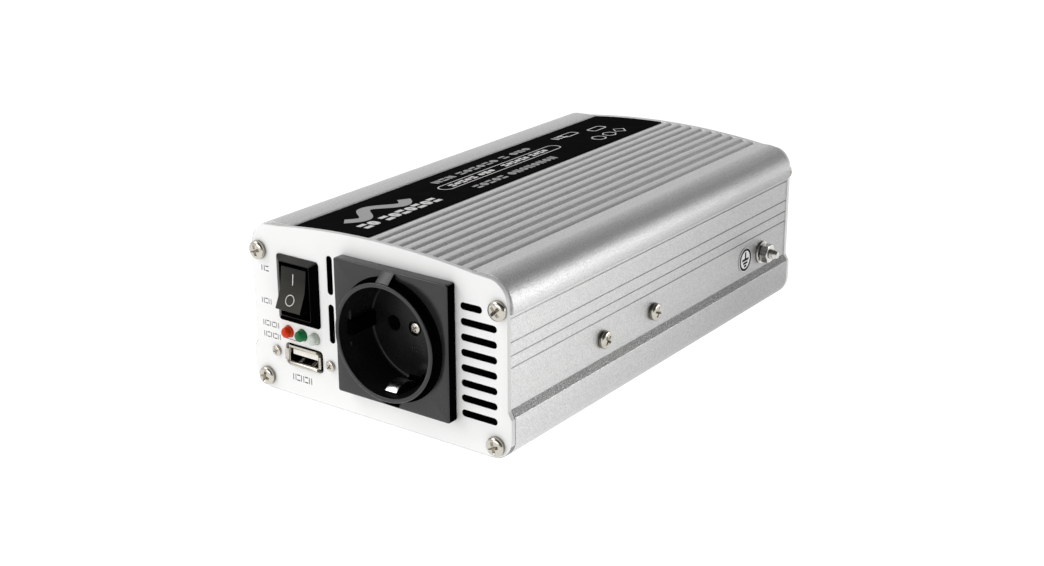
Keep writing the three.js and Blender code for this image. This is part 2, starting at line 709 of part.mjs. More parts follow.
function fanFrame() {
  const front = -FAN.depth;
  const ears = prismY(roundedRectangle(0, 0, FAN.size, FAN.size, 3, 2), front, 0);
  const duct = rodY(0, 0, FAN.ductR, front - 1, 1, 32);
  const hub = rodY(0, 0, FAN.hubR, front, front + 2, 20);
  const struts = [30, 120, 210, 300].map((angle) =>
    box(FAN.hubR - 1, FAN.ductR + 0.5, front, front + 2, -1.5, 1.5).rotate([0, angle, 0]));
  const spindle = rodY(0, 0, 1.4, front + 1, -4, 10);
  return node('fan_frame', join(ears.subtract(duct), hub, ...struts, spindle), blackPlastic());
}

// One blade: a thin twisted vane from the hub to the tip, closed on all sides.
function fanBlade() {
  const halfThickness = 0.45;
  const rows = [
    [FAN.hubR - 1, 52],
    [(FAN.hubR + FAN.bladeR) / 2, 38],
    [FAN.bladeR, 28],
  ];
  const axial = 4.2;
  const positions = [];
  for (const [radius, pitchDegrees] of rows) {
    const pitch = THREE.MathUtils.degToRad(pitchDegrees);
    const chordHalf = axial / Math.sin(pitch);
    const reach = Math.min(chordHalf, radius * 0.36);
    for (const [u, w] of [[-1, -1], [1, -1], [1, 1], [-1, 1]]) {
      const y = u * reach * Math.sin(pitch) + w * halfThickness * Math.cos(pitch);
      const z = -u * reach * Math.cos(pitch) + w * halfThickness * Math.sin(pitch);
      positions.push(Math.sqrt(radius * radius - Math.min(z * z, radius * radius * 0.5)), y, z);
    }
  }
  const index = [0, 2, 1, 0, 3, 2, 8, 9, 10, 8, 10, 11];
  for (let row = 0; row < 2; row += 1) {
    for (let side = 0; side < 4; side += 1) {
      const a = row * 4 + side;
      const b = row * 4 + ((side + 1) % 4);
      index.push(a, b, b + 4, a, b + 4, a + 4);
    }
  }
  const geometry = new THREE.BufferGeometry();
  geometry.setAttribute('position', new THREE.Float32BufferAttribute(positions, 3));
  geometry.setIndex(index);
  return solidOf(geometry);
}

function fanRotor() {
  const middle = -FAN.depth / 2 + 0.7;
  const y0 = -FAN.depth + 2.6;
  const y1 = -1.2;
  const cap = turned([[0, y0], [FAN.hubR, y0], [FAN.hubR, y1 - 1.2], [FAN.hubR - 1.2, y1], [0, y1]], 28);
  const bore = rodY(0, 0, 1.7, y0 - 1, -3.4, 12);
  const blades = [];
  for (let i = 0; i < FAN.blades; i += 1) {
    blades.push(fanBlade().rotate([0, (360 / FAN.blades) * i, 0]).translate([0, middle, 0]));
  }
  return node('fan_rotor', join(cap, ...blades).subtract(bore), blackPlastic());
}

function fanGroup() {
  const group = new THREE.Group();
  group.position.set(FAN.x, REAR_Y - PANEL_THICKNESS - FIT_GAP, FAN.z);
  group.add(fanFrame(), fanRotor());
  return group;
}

// ---------------------------------------------------------------- direct-current terminals (local origin: on the rear panel's face)

function terminalPlaces() {
  return [['positive', 1], ['negative', -1]].map(([name, side]) => [name, (side * TERMINAL.spacing) / 2]);
}

function terminalBlock() {
  const { blockWidth, blockHeight, blockDepth, collarR } = TERMINAL;
  const collarY = blockDepth + 2;
  const plate = prismY(roundedRectangle(0, 0, blockWidth, blockHeight, 3, 3), FIT_GAP, blockDepth);
  const collars = terminalPlaces().map(([, x]) => rodY(x, 0, collarR, blockDepth - 1, collarY, 28));
  const spigots = terminalPlaces().map(([, x]) => rodY(x, 0, 5, -PANEL_THICKNESS, 1, 16));
  const holes = terminalPlaces().map(([, x]) => rodY(x, 0, POST_R + CLEARANCE, -5, collarY + 1, 16));
  return node('terminal_block', cut(join(plate, ...collars, ...spigots), holes), blackPlastic());
}

function terminalPost(name, x) {
  const profile = [
    [0, -14],
    [POST_R, -14],
    [POST_R, -7],
    [6, -7],
    [6, -PANEL_THICKNESS - CLEARANCE],
    [POST_R, -PANEL_THICKNESS - CLEARANCE],
    [POST_R, 20.5],
    [POST_R - 0.6, 21.1],
    [0, 21.1],
  ];
  return node(`terminal_post_${name}`, turned(profile, 16).translate([x, 0, 0]), brass());
}

function terminalWasher(name, x) {
  const start = TERMINAL.blockDepth + 2 + FIT_GAP;
  const washer = ringY(7, POST_R + CLEARANCE, start, start + WASHER_THICKNESS, 20).translate([x, 0, 0]);
  return node(`terminal_washer_${name}`, washer, brass());
}

// Knurled cap with a blind bore, standing on the washer.
function terminalKnob(name, x, material) {
  const start = TERMINAL.blockDepth + 2 + FIT_GAP + WASHER_THICKNESS + CLEARANCE;
  const points = [];
  const steps = KNOB.lobes * 3;
  for (let i = 0; i < steps; i += 1) {
    const angle = (2 * Math.PI * i) / steps;
    const radius = KNOB.radius - (i % 3 === 0 ? KNOB.groove : 0);
    points.push(new THREE.Vector2(radius * Math.cos(angle), radius * Math.sin(angle)));
  }
  const grip = prismY(outlineOf(points), start + 2, start + KNOB.length);
  const skirt = rodY(0, 0, KNOB.radius - KNOB.groove - 0.2, start, start + 3, 28);
  const bore = rodY(0, 0, POST_R + CLEARANCE, start - 1, 21.5, 16);
  return node(`terminal_knob_${name}`, join(grip, skirt).subtract(bore).translate([x, 0, 0]), material);
}

function terminalGroup() {
  const group = new THREE.Group();
  group.position.set(TERMINAL.x, REAR_Y, TERMINAL.z);
  group.add(terminalBlock());
  for (const [name, x] of terminalPlaces()) {
    const material = name === 'positive' ? redPlastic() : blackPlastic();
    group.add(terminalPost(name, x), terminalWasher(name, x), terminalKnob(name, x, material));
  }
  return group;
}

// ---------------------------------------------------------------- earth terminal on the right wall

function earthGroup() {
  const group = new THREE.Group();
  group.position.set(WALL_X, EARTH.y, EARTH.z);
  const washerX = FIT_GAP + 0.8;
  const nutX = washerX + CLEARANCE;
  const headX = UPSTAND.x0 - WALL_X - CLEARANCE;
  const stud = join(
    rodX(0, 0, EARTH.studR, headX - 1, EARTH.reach, 14),
    rodX(0, 0, 4, headX - 2.5, headX, 16),
  );
  const washer = rodX(0, 0, EARTH.washerR, FIT_GAP, washerX, 24).subtract(rodX(0, 0, EARTH.studR + CLEARANCE, -1, 2, 14));
  const nutRadius = EARTH.nutAcross / 2 / Math.cos(Math.PI / 6);
  const nut = rodX(0, 0, nutRadius, nutX, nutX + 3.2, 6).subtract(rodX(0, 0, EARTH.studR + CLEARANCE, 0, 6, 14));
  group.add(node('earth_stud', stud, steel()), node('earth_washer', washer, steel()), node('earth_nut', nut, steel()));
  return group;
}

// ---------------------------------------------------------------- circuit board and what stands on it

function mainBoard() {
  const { halfWidth, y0, y1, z0 } = BOARD;
  return node('main_board', box(-halfWidth, halfWidth, y0, y1, z0, BOARD_TOP), boardGreen());
}

// Double-E ferrite core; its windows hold the winding that wraps the middle leg.
function transformerGroup() {
  const group = new THREE.Group();
  const halfWidth = 25;
  const height = 42;
  const yoke = 7;
  const window = 10.5;
  const middleHalf = 7.5;
  const depthHalf = 10;
  group.position.set(-2, 20, BOARD_TOP + CLEARANCE);
  const windows = [-1, 1].map((side) => {
    const near = side * middleHalf;
    const far = side * (middleHalf + window);
    return box(Math.min(near, far), Math.max(near, far), -depthHalf - 1, depthHalf + 1, yoke, height - yoke);
  });
  const core = cut(box(-halfWidth, halfWidth, -depthHalf, depthHalf, 0, height), windows);
  const outer = box(-middleHalf - window + 0.4, middleHalf + window - 0.4, -19, 19, yoke + 0.4, height - yoke - 0.4);
  const inner = box(-middleHalf - 0.4, middleHalf + 0.4, -depthHalf - 0.4, depthHalf + 0.4, 0, height);
  group.add(node('transformer_core', core, ferrite()), node('transformer_winding', outer.subtract(inner), copper()));
  return group;
}

function capacitor(name, x, y, radius, height) {
  return node(name, rodZ(x, y, radius, BOARD_TOP + FIT_GAP, BOARD_TOP + height, 24), capacitorSleeve());
}

function clampBar(name, side) {
  const { x0, x1, y0, y1, z0, z1 } = CLAMP_BAR;
  const bar = side > 0 ? box(x0, x1, y0, y1, z0, z1) : box(-x1, -x0, y0, y1, z0, z1);
  return node(name, cut(bar, wallHoles()), aluminium());
}

// Power transistor standing on its three legs, its tab towards the clamp bar.
function transistor(name, side, y) {
  const outerX = CLAMP_BAR.x0 - CLEARANCE;
  const body = box(outerX - 4.5, outerX, y - 5, y + 5, 18, 27);
  const tab = box(outerX - 1.3, outerX, y - 5, y + 5, 26, 33);
  const legs = [-2.5, 0, 2.5].map((step) =>
    box(outerX - 2.8, outerX - 2.2, y + step - 0.5, y + step + 0.5, BOARD_TOP + FIT_GAP, 19));
  const whole = join(body, tab, ...legs);
  return node(name, side > 0 ? whole : whole.mirror([1, 0, 0]), paint(0x222224, 0.5, 0));
}

function boardGroup() {
  const group = new THREE.Group();
  group.add(
    mainBoard(),
    transformerGroup(),
    capacitor('input_capacitor_left', -38, 62, 8, 30),
    capacitor('input_capacitor_right', -16, 62, 8, 30),
    capacitor('bus_capacitor', -24, -42, 11, 34),
  );
  for (const [word, side] of [['left', -1], ['right', 1]]) {
    group.add(clampBar(`clamp_bar_${word}`, side));
    group.add(transistor(`transistor_${word}_front`, side, SIDE_SCREW_Y[0]));
    group.add(transistor(`transistor_${word}_rear`, side, SIDE_SCREW_Y[1]));
  }
  return group;
}

// ---------------------------------------------------------------- case screws

function caseScrews() {
  const group = new THREE.Group();
  const panelY = BODY_LENGTH / 2 + FIT_GAP;
  for (const [word, side] of [['left', -1], ['right', 1]]) {
    for (const [level, place] of [['upper', UPPER_SCREW], ['lower', LOWER_SCREW]]) {
      group.add(screwNode(`front_screw_${level}_${word}`, SCREW, side * place.x, -panelY, place.z, 'front'));
      group.add(screwNode(`rear_screw_${level}_${word}`, SCREW, side * place.x, panelY, place.z, 'rear'));
    }
    const wall = side * (WALL_X + FIT_GAP);
    group.add(screwNode(`side_screw_${word}_front`, SIDE_SCREW, wall, SIDE_SCREW_Y[0], SIDE_SCREW_Z, word));
    group.add(screwNode(`side_screw_${word}_rear`, SIDE_SCREW, wall, SIDE_SCREW_Y[1], SIDE_SCREW_Z, word));
  }
  return group;
}

// ---------------------------------------------------------------- the inverter

const inverter = new THREE.Group();
inverter.add(
  upperCase(),
  baseTray(),
  frontPanel(),
  rearPanel(),
  labelPlate(),
  earthSymbolLabel(),
  caseScrews(),
  socketGroup(),
  switchGroup(),
  usbGroup(),
  lamp('led_red', 0xd2320f, LED_X.red),
  lamp('led_green', 0x1f7a45, LED_X.green),
  lamp('led_clear', 0xd5dad2, LED_X.clear),
  fanGroup(),
  terminalGroup(),
  earthGroup(),
  boardGroup(),
);

export default inverter;
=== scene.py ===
"""Looks of the power inverter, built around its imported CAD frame.

Sizes are in millimetres until a mesh is made.
"""

import json
import math

import bmesh
import bpy
from mathutils import Matrix, Vector


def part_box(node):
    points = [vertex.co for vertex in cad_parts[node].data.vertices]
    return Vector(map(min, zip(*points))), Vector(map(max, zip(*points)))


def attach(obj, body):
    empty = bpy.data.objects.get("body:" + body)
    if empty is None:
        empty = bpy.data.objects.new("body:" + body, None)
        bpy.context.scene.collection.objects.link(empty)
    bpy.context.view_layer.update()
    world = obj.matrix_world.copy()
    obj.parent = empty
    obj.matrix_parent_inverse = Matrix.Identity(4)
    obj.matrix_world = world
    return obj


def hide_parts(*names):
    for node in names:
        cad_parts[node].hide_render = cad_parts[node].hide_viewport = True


MM = 0.001

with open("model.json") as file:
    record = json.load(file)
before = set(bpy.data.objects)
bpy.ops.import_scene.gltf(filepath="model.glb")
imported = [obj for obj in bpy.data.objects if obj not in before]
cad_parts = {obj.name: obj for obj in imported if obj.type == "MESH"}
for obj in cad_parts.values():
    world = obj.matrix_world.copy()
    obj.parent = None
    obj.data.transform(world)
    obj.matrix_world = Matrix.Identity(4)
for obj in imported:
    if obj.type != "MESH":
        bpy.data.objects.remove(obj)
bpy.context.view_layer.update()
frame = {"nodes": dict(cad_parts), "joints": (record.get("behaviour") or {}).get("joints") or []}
scene = bpy.context.scene


# ---------- places taken from the frame


def low_high(node):
    """Lowest and highest corners of a CAD node, in millimetres."""
    low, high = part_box(node)
    return low / MM, high / MM


def middle(node):
    low, high = low_high(node)
    return (low + high) / 2


def on_plane(node, y):
    """Middle of a CAD node, moved to a plane across the case."""
    place = middle(node)
    return Vector((place.x, y, place.z))


FRONT_LOW, FRONT_HIGH = low_high("front_panel")
REAR_LOW, REAR_HIGH = low_high("rear_panel")
FRONT_Y = FRONT_LOW.y
REAR_Y = REAR_HIGH.y
PANEL = FRONT_HIGH.y - FRONT_LOW.y
SOCKET = on_plane("socket_cover", FRONT_Y)
SWITCH = on_plane("switch_housing", FRONT_Y)
USB = on_plane("usb_shell", FRONT_Y)
FAN = on_plane("fan_frame", REAR_Y)
TERMINALS = on_plane("terminal_block", REAR_Y)

# cross-section of the case, as designed
WALL_X = 57.0
FLANGE_X = low_high("base_tray")[1].x
FLANGE_TOP_Z = 16.1
PART_LINE_Z = 18.4
CREST_Z = 67.3
ARCH_FALL = 0.0015
ROOF = 3.3
CORNER = (47.5, 54.1)
CORNER_R = 10.9
NUB_Z = 52.2
LOWER_CORNER_R = 8.0
RIB_EDGE_X = 41.0
RIB_PITCH = 4.985
RIB_COUNT = 9
RIB_DEPTH = 1.3
WALL_GROOVES_Z = (33.45, 37.7, 42.5, 50.9)
LABEL_X0 = -38.1
LABEL_X1 = -4.5
LABEL_BED = 0.65
LABEL_TOP = 0.15
UPPER_SCREW = (53.85, 53.9)


# ---------- mesh tools


def to_piece(name, bm, smooth=30):
    """Turns a bmesh in millimetres into an object in metres, smooth except at sharp edges."""
    bmesh.ops.remove_doubles(bm, verts=bm.verts, dist=1e-4)
    bmesh.ops.recalc_face_normals(bm, faces=bm.faces)
    mesh = bpy.data.meshes.new(name)
    bm.to_mesh(mesh)
    bm.free()
    mesh.transform(Matrix.Scale(MM, 4))
    piece = bpy.data.objects.new(name, mesh)
    scene.collection.objects.link(piece)
    soften(piece, smooth)
    return piece


def soften(piece, smooth=30):
    piece.data.shade_smooth()
    piece.data.set_sharp_from_angle(angle=math.radians(smooth))


def apply_modifiers(piece):
    """Replaces the piece's mesh by what its modifiers make of it."""
    bpy.context.view_layer.update()
    evaluated = piece.evaluated_get(bpy.context.evaluated_depsgraph_get())
    mesh = bpy.data.meshes.new_from_object(evaluated)
    piece.modifiers.clear()
    piece.data = mesh


def carve(piece, cutters, smooth=30):
    """Cuts the cutters out of the piece and removes them."""
    for cutter in cutters:
        modifier = piece.modifiers.new("carve", "BOOLEAN")
        modifier.operation = "DIFFERENCE"
        modifier.solver = "EXACT"
        modifier.object = cutter
    apply_modifiers(piece)
    for cutter in cutters:
        bpy.data.objects.remove(cutter)
    soften(piece, smooth)
    return piece


def round_edges(piece, width, angle):
    """Bevel on the edges sharper than an angle."""
    modifier = piece.modifiers.new("edge", "BEVEL")
    modifier.width = width * MM
    modifier.segments = 2
    modifier.limit_method = "ANGLE"
    modifier.angle_limit = math.radians(angle)


def arc(centre, radius, start, end, steps):
    points = []
    for i in range(steps + 1):
        angle = math.radians(start + (end - start) * i / steps)
        points.append((centre[0] + radius * math.cos(angle), centre[1] + radius * math.sin(angle)))
    return points


def circle(centre, radius, steps=48):
    return arc(centre, radius, 0, 360, steps)[:-1]


def rounded(centre, width, height, radius, steps=6):
    """Rounded rectangle, anticlockwise."""
    dx = width / 2 - radius
    dz = height / 2 - radius
    points = []
    for sx, sz, start in ((1, 1, 0), (-1, 1, 90), (-1, -1, 180), (1, -1, 270)):
        points += arc((centre[0] + sx * dx, centre[1] + sz * dz), radius, start, start + 90, steps)
    return points


def mirrored(points):
    return [(-x, z) for x, z in reversed(points)]


def area(loop):
    return sum(a[0] * b[1] - b[0] * a[1] for a, b in zip(loop, loop[1:] + loop[:1])) / 2


def inset(loop, distance):
    """The loop moved to its left-hand side, into the material for an anticlockwise outline."""
    moved = []
    count = len(loop)
    for i in range(count):
        before = Vector(loop[i - 1])
        here = Vector(loop[i])
        after = Vector(loop[(i + 1) % count])
        first = (here - before).normalized()
        second = (after - here).normalized()
        normal = Vector((-first.y - second.y, first.x + second.x))
        if normal.length < 1e-9:
            normal = Vector((-first.y, first.x))
        normal.normalize()
        stretch = max(0.5, normal.dot(Vector((-second.y, second.x))))
        moved.append(tuple(here + normal * distance / stretch))
    return moved


def point_on(axis, a, b, t):
    """Point at t along an axis and at a, b across it."""
    return {"Y": (a, t, b), "X": (t, a, b), "Z": (a, b, t)}[axis]


def placed(place, degrees):
    """Matrix that turns a piece about Y and moves it to a place in millimetres."""
    return Matrix.Translation(Vector(place) * MM) @ Matrix.Rotation(math.radians(degrees), 4, "Y")


def plate(name, loops, low, high, edge, axis="Y", steps=3, smooth=30):
    """Flat piece between two planes across an axis, edges rounded. The first loop is its outline
    and the others are holes."""
    bm = bmesh.new()
    if edge > 0:
        turns = [math.pi / 2 * i / steps for i in range(steps, -1, -1)]
        front = [(low + edge * (1 - math.sin(turn)), edge * (1 - math.cos(turn))) for turn in turns]
        back = [(low + high - t, distance) for t, distance in reversed(front)]
        levels = front + back
    else:
        levels = [(low, 0.0), (high, 0.0)]
    caps = [[], []]
    for number, loop in enumerate(loops):
        turn = area(loop)
        loop = loop if (turn > 0) == (number == 0) else loop[::-1]
        rings = []
        for t, distance in levels:
            ring = inset(loop, distance) if distance else loop
            rings.append([bm.verts.new(point_on(axis, a, b, t)) for a, b in ring])
        for lower, upper in zip(rings, rings[1:]):
            skin(bm, lower, upper)
        for side, ring in ((0, rings[0]), (1, rings[-1])):
            for i in range(len(ring)):
                caps[side].append(bm.edges.get((ring[i], ring[(i + 1) % len(ring)])))
    for edges in caps:
        bmesh.ops.triangle_fill(bm, use_beauty=True, use_dissolve=False, edges=edges)
    return to_piece(name, bm, smooth)


def loft(name, rings, smooth=30):
    """Skin through rings of equally many points, closed at both ends."""
    bm = bmesh.new()
    made = [[bm.verts.new(p) for p in ring] for ring in rings]
    for lower, upper in zip(made, made[1:]):
        skin(bm, lower, upper)
    bm.faces.new(made[0][::-1])
    bm.faces.new(made[-1])
    return to_piece(name, bm, smooth)


def lathe(name, profile, centre, axis="Y", steps=64, smooth=30, closed=False):
    """Turned piece: profile is a list of (radius, place along the axis), measured from centre."""
    bm = bmesh.new()
    rings = []
    for radius, t in profile:
        ring = []
        count = 1 if radius < 1e-6 else steps
        for i in range(count):
            angle = 2 * math.pi * i / steps
            local = point_on(axis, radius * math.cos(angle), radius * math.sin(angle), t)
            ring.append(bm.verts.new(Vector(centre) + Vector(local)))
        rings.append(ring)
    pairs = list(zip(rings, rings[1:]))
    if closed:
        pairs.append((rings[-1], rings[0]))
    for lower, upper in pairs:
        if len(lower) == 1 and len(upper) == 1:
            continue
        for i in range(steps):
            j = (i + 1) % steps
            corners = ((lower, i), (lower, j), (upper, j), (upper, i))
            verts = [ring[k % len(ring)] for ring, k in corners]
            bm.faces.new(list(dict.fromkeys(verts)))
    return to_piece(name, bm, smooth)


def block(name, low, high, edge, segments=2):
    """Box with rounded edges."""
    bm = bmesh.new()
    bmesh.ops.create_cube(bm, size=1)
    low = Vector(low)
    high = Vector(high)
    for vert in bm.verts:
        vert.co = [low[i] + (vert.co[i] + 0.5) * (high[i] - low[i]) for i in range(3)]
    if edge > 0:
        bmesh.ops.bevel(
            bm, geom=bm.edges, offset=edge, segments=segments, profile=0.5, affect="EDGES"
        )
    return to_piece(name, bm)


def skin(bm, lower, upper):
    """Faces between two rings of equally many vertices."""
    for i in range(len(lower)):
        j = (i + 1) % len(lower)
        bm.faces.new((lower[i], lower[j], upper[j], upper[i]))


def join_pieces(name, pieces):
    """One object from several, keeping each part's shape."""
    bm = bmesh.new()
    for piece in pieces:
        mesh = piece.data.copy()
        mesh.transform(piece.matrix_world)
        bm.from_mesh(mesh)
        bpy.data.meshes.remove(mesh)
        bpy.data.objects.remove(piece)
    mesh = bpy.data.meshes.new(name)
    bm.to_mesh(mesh)
    bm.free()
    piece = bpy.data.objects.new(name, mesh)
    scene.collection.objects.link(piece)
    return piece


def settle(piece, material, node, body="case"):
    """Gives a piece its material and its body, and hides the CAD node it stands for."""
    piece.data.materials.clear()
    piece.data.materials.append(material)
    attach(piece, body)
    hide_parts(node)
    return piece


def repaint(piece, material, test):
    """Another material on the faces whose middle, in millimetres, and normal pass the test."""
    piece.data.materials.append(material)
    index = len(piece.data.materials) - 1
    for polygon in piece.data.polygons:
        if test(polygon.center / MM, polygon.normal):
            polygon.material_index = index


# ---------- materials


class Surface:
    """A Principled material with a few procedural layers, all in the piece's own coordinates."""

    def __init__(self, name, color, roughness, metallic=0.0, specular=None, coat=0.0):
        self.material = bpy.data.materials.new(name)
        self.material.use_nodes = True
        self.nodes = self.material.node_tree.nodes
        self.links = self.material.node_tree.links
        self.shader = self.nodes["Principled BSDF"]
        self.shader.inputs["Base Color"].default_value = (*color, 1)
        self.shader.inputs["Roughness"].default_value = roughness
        self.shader.inputs["Metallic"].default_value = metallic
        if specular is not None:
            self.shader.inputs["Specular IOR Level"].default_value = specular
        if coat:
            self.shader.inputs["Coat Weight"].default_value = coat
            self.shader.inputs["Coat Roughness"].default_value = 0.12
        self.place = self.nodes.new("ShaderNodeTexCoord").outputs["Object"]
        self.height = None

    def add(self, kind, inputs):
        """New node; each input gets a value, or a link where the value is another node's output."""
        node = self.nodes.new(f"ShaderNode{kind}")
        for name, value in inputs.items():
            if isinstance(value, bpy.types.NodeSocket):
                self.links.new(value, node.inputs[name])
            else:
                node.inputs[name].default_value = value
        return node

    def noise(self, size_mm, detail=2.0, stretch=(1, 1, 1)):
        """Noise with grains of about size_mm, stretched along the axes where stretch is above 1."""
        mapping = self.add("Mapping", {"Vector": self.place, "Scale": [1 / s for s in stretch]})
        inputs = {"Vector": mapping.outputs["Vector"], "Detail": detail}
        inputs["Scale"] = 1 / (size_mm * MM)
        return self.add("TexNoise", inputs).outputs["Fac"]

    def along(self, axis):
        """Place along one of the piece's own axes, in metres."""
        return self.add("SeparateXYZ", {"Vector": self.place}).outputs[axis]

    def both(self, first, second):
        """Product of two factors."""
        times = self.add("Math", {0: first, 1: second})
        times.operation = "MULTIPLY"
        return times.outputs["Value"]

    def spread(self, value, low, high, lowest=0.0, highest=1.0):
        """Value mapped so that low and high become lowest and highest."""
        inputs = {"Value": value, "From Min": low, "From Max": high}
        inputs |= {"To Min": lowest, "To Max": highest}
        return self.add("MapRange", inputs).outputs["Result"]

    def tint(self, factor, color):
        """Mixes a second colour in where factor is high."""
        mix = self.nodes.new("ShaderNodeMix")
        mix.data_type = "RGBA"
        target = self.shader.inputs["Base Color"]
        if target.is_linked:
            self.links.new(target.links[0].from_socket, mix.inputs["A"])
        else:
            mix.inputs["A"].default_value = target.default_value
        mix.inputs["B"].default_value = (*color, 1)
        self.links.new(factor, mix.inputs["Factor"])
        self.links.new(mix.outputs["Result"], target)

    def stain(self, value, color, low, high, amount):
        """Mixes a colour in, from nothing where value is low up to amount where it is high."""
        self.tint(self.spread(value, low, high, 0, amount), color)

    def roughen(self, value, lowest, highest):
        roughness = self.spread(value, 0.3, 0.7, lowest, highest)
        self.links.new(roughness, self.shader.inputs["Roughness"])

    def bump(self, value, depth_mm, strength):
        inputs = {"Distance": depth_mm * MM, "Strength": strength, "Height": value}
        if self.height is not None:
            inputs["Normal"] = self.height
        self.height = self.add("Bump", inputs).outputs["Normal"]
        self.links.new(self.height, self.shader.inputs["Normal"])


def blasted_aluminium(name, color, speckle):
    """Fine sparkling grain with drawing streaks, and painted shade that darkens the right wall
    slowly towards the rear.
    """
    surface = Surface(name, color, 0.42, metallic=1.0)
    grain = surface.noise(0.52, 2.0)
    fine = surface.noise(0.42, 1.0)
    streaks = surface.noise(1.4, 2.0, stretch=(1, 60, 1))
    surface.stain(grain, tuple(c * 0.6 for c in color), 0.44, 0.62, speckle)
    surface.stain(fine, (1.0, 1.0, 0.99), 0.57, 0.67, speckle)
    surface.stain(streaks, (0.52, 0.52, 0.52), 0.35, 0.65, 0.10)
    # painted shade: the right wall only is darkened, more and more towards the rear
    shade_towards_rear = surface.spread(surface.along("Y"), -0.095, 0.06, 0.05, 0.5)
    on_right_wall = surface.spread(surface.along("X"), 0.0535, 0.0575)
    surface.tint(surface.both(shade_towards_rear, on_right_wall), (0.02, 0.021, 0.022))
    surface.roughen(grain, 0.34, 0.47)
    surface.bump(grain, 0.14, 0.9)
    surface.bump(fine, 0.10, 0.9)
    return surface.material


def powder_coat(name, tone):
    surface = Surface(name, (tone, tone, tone * 0.99), 0.42, specular=0.4)
    peel = surface.noise(0.9, 2.0)
    haze = surface.noise(14, 3.0)
    surface.stain(haze, (tone * 0.935, tone * 0.935, tone * 0.925), 0.4, 0.7, 0.2)
    surface.roughen(peel, 0.36, 0.48)
    surface.bump(peel, 0.008, 0.6)
    return surface.material


def nickel(name="nickel", color=(0.58, 0.55, 0.49), roughness=(0.09, 0.2)):
    surface = Surface(name, color, roughness[0], metallic=1.0)
    smudge = surface.noise(1.3, 3.0)
    fine = surface.noise(0.25, 2.0)
    surface.stain(smudge, tuple(c * 0.62 for c in color), 0.45, 0.7, 0.45)
    surface.roughen(smudge, *roughness)
    surface.bump(fine, 0.01, 0.5)
    return surface.material


def black_plastic(name, color, roughness, texture=0.4, depth=0.006, gloss=0.5):
    surface = Surface(name, color, roughness[0], specular=gloss)
    grain = surface.noise(texture, 2.0)
    haze = surface.noise(9, 3.0)
    surface.stain(haze, tuple(min(1, c * 1.35) for c in color), 0.4, 0.7, 0.5)
    surface.roughen(haze, *roughness)
    surface.bump(grain, depth, 0.7)
    return surface.material


def rocker_plastic():
    """Black plastic with painted light: lighter and browner towards its lower end, where the dished
    face turns up.
    """
    surface = Surface("rocker_plastic", (0.012, 0.0116, 0.0095), 0.3, specular=0.16)
    grain = surface.noise(0.3, 2.0)
    # painted light: lighter and browner towards the lower end of the rocker
    surface.tint(surface.spread(surface.along("Z"), 0.047, 0.0385), (0.042, 0.040, 0.033))
    surface.roughen(grain, 0.26, 0.38)
    surface.bump(grain, 0.006, 0.7)
    return surface.material


def flat_print(name, color, roughness=0.5):
    surface = Surface(name, color, roughness, specular=0.12)
    ink = surface.noise(0.35, 2.0)
    surface.stain(ink, tuple(c * 0.8 for c in color), 0.45, 0.75, 0.3)
    surface.roughen(ink, roughness - 0.05, roughness + 0.08)
    surface.bump(ink, 0.004, 0.4)
    return surface.material


def lens(name, color, transmission):
    surface = Surface(name, color, 0.08, specular=0.12, coat=0.1)
    surface.shader.inputs["Transmission Weight"].default_value = transmission
    surface.shader.inputs["IOR"].default_value = 1.5
    cloud = surface.noise(1.1, 2.0)
    surface.stain(cloud, tuple(min(1, c * 1.4) for c in color), 0.4, 0.75, 0.35)
    surface.roughen(cloud, 0.06, 0.12)
    surface.bump(cloud, 0.01, 0.3)
    return surface.material


def label_film():
    surface = Surface("label_film", (0.0085, 0.0085, 0.009), 0.5, specular=0.0)
    haze = surface.noise(6, 3.0)
    ripple = surface.noise(3.0, 2.0, stretch=(1, 3, 1))
    surface.stain(haze, (0.012, 0.012, 0.0125), 0.4, 0.7, 0.6)
    surface.roughen(haze, 0.46, 0.58)
    surface.bump(ripple, 0.02, 0.35)
    return surface.material


def laminate():
    surface = Surface("board_laminate", (0.03, 0.16, 0.07), 0.35, specular=0.5)
    weave = surface.noise(0.8, 2.0, stretch=(1, 3, 1))
    tracks = surface.noise(5.0, 0.0, stretch=(1, 2.2, 1))
    surface.stain(tracks, (0.06, 0.26, 0.11), 0.5, 0.52, 0.6)
    surface.roughen(weave, 0.3, 0.45)
    surface.bump(weave, 0.02, 0.4)
    return surface.material


def wound_tape():
    surface = Surface("wound_tape", (0.72, 0.52, 0.10), 0.35, specular=0.5)
    turns = surface.noise(1.2, 1.0, stretch=(8, 8, 1))
    surface.stain(turns, (0.50, 0.33, 0.06), 0.4, 0.6, 0.5)
    surface.roughen(turns, 0.28, 0.45)
    surface.bump(turns, 0.08, 0.5)
    return surface.material


def coarse(name, color, roughness, size, depth, metallic=0.0):
    """Plain material for inner pieces: mottled colour, varied gloss and a light texture."""
    surface = Surface(name, color, roughness, metallic=metallic)
    grain = surface.noise(size, 3.0)
    surface.stain(grain, tuple(c * 0.6 for c in color), 0.4, 0.7, 0.4)
    surface.roughen(grain, roughness - 0.06, roughness + 0.1)
    surface.bump(grain, depth, 0.6)
    return surface.material


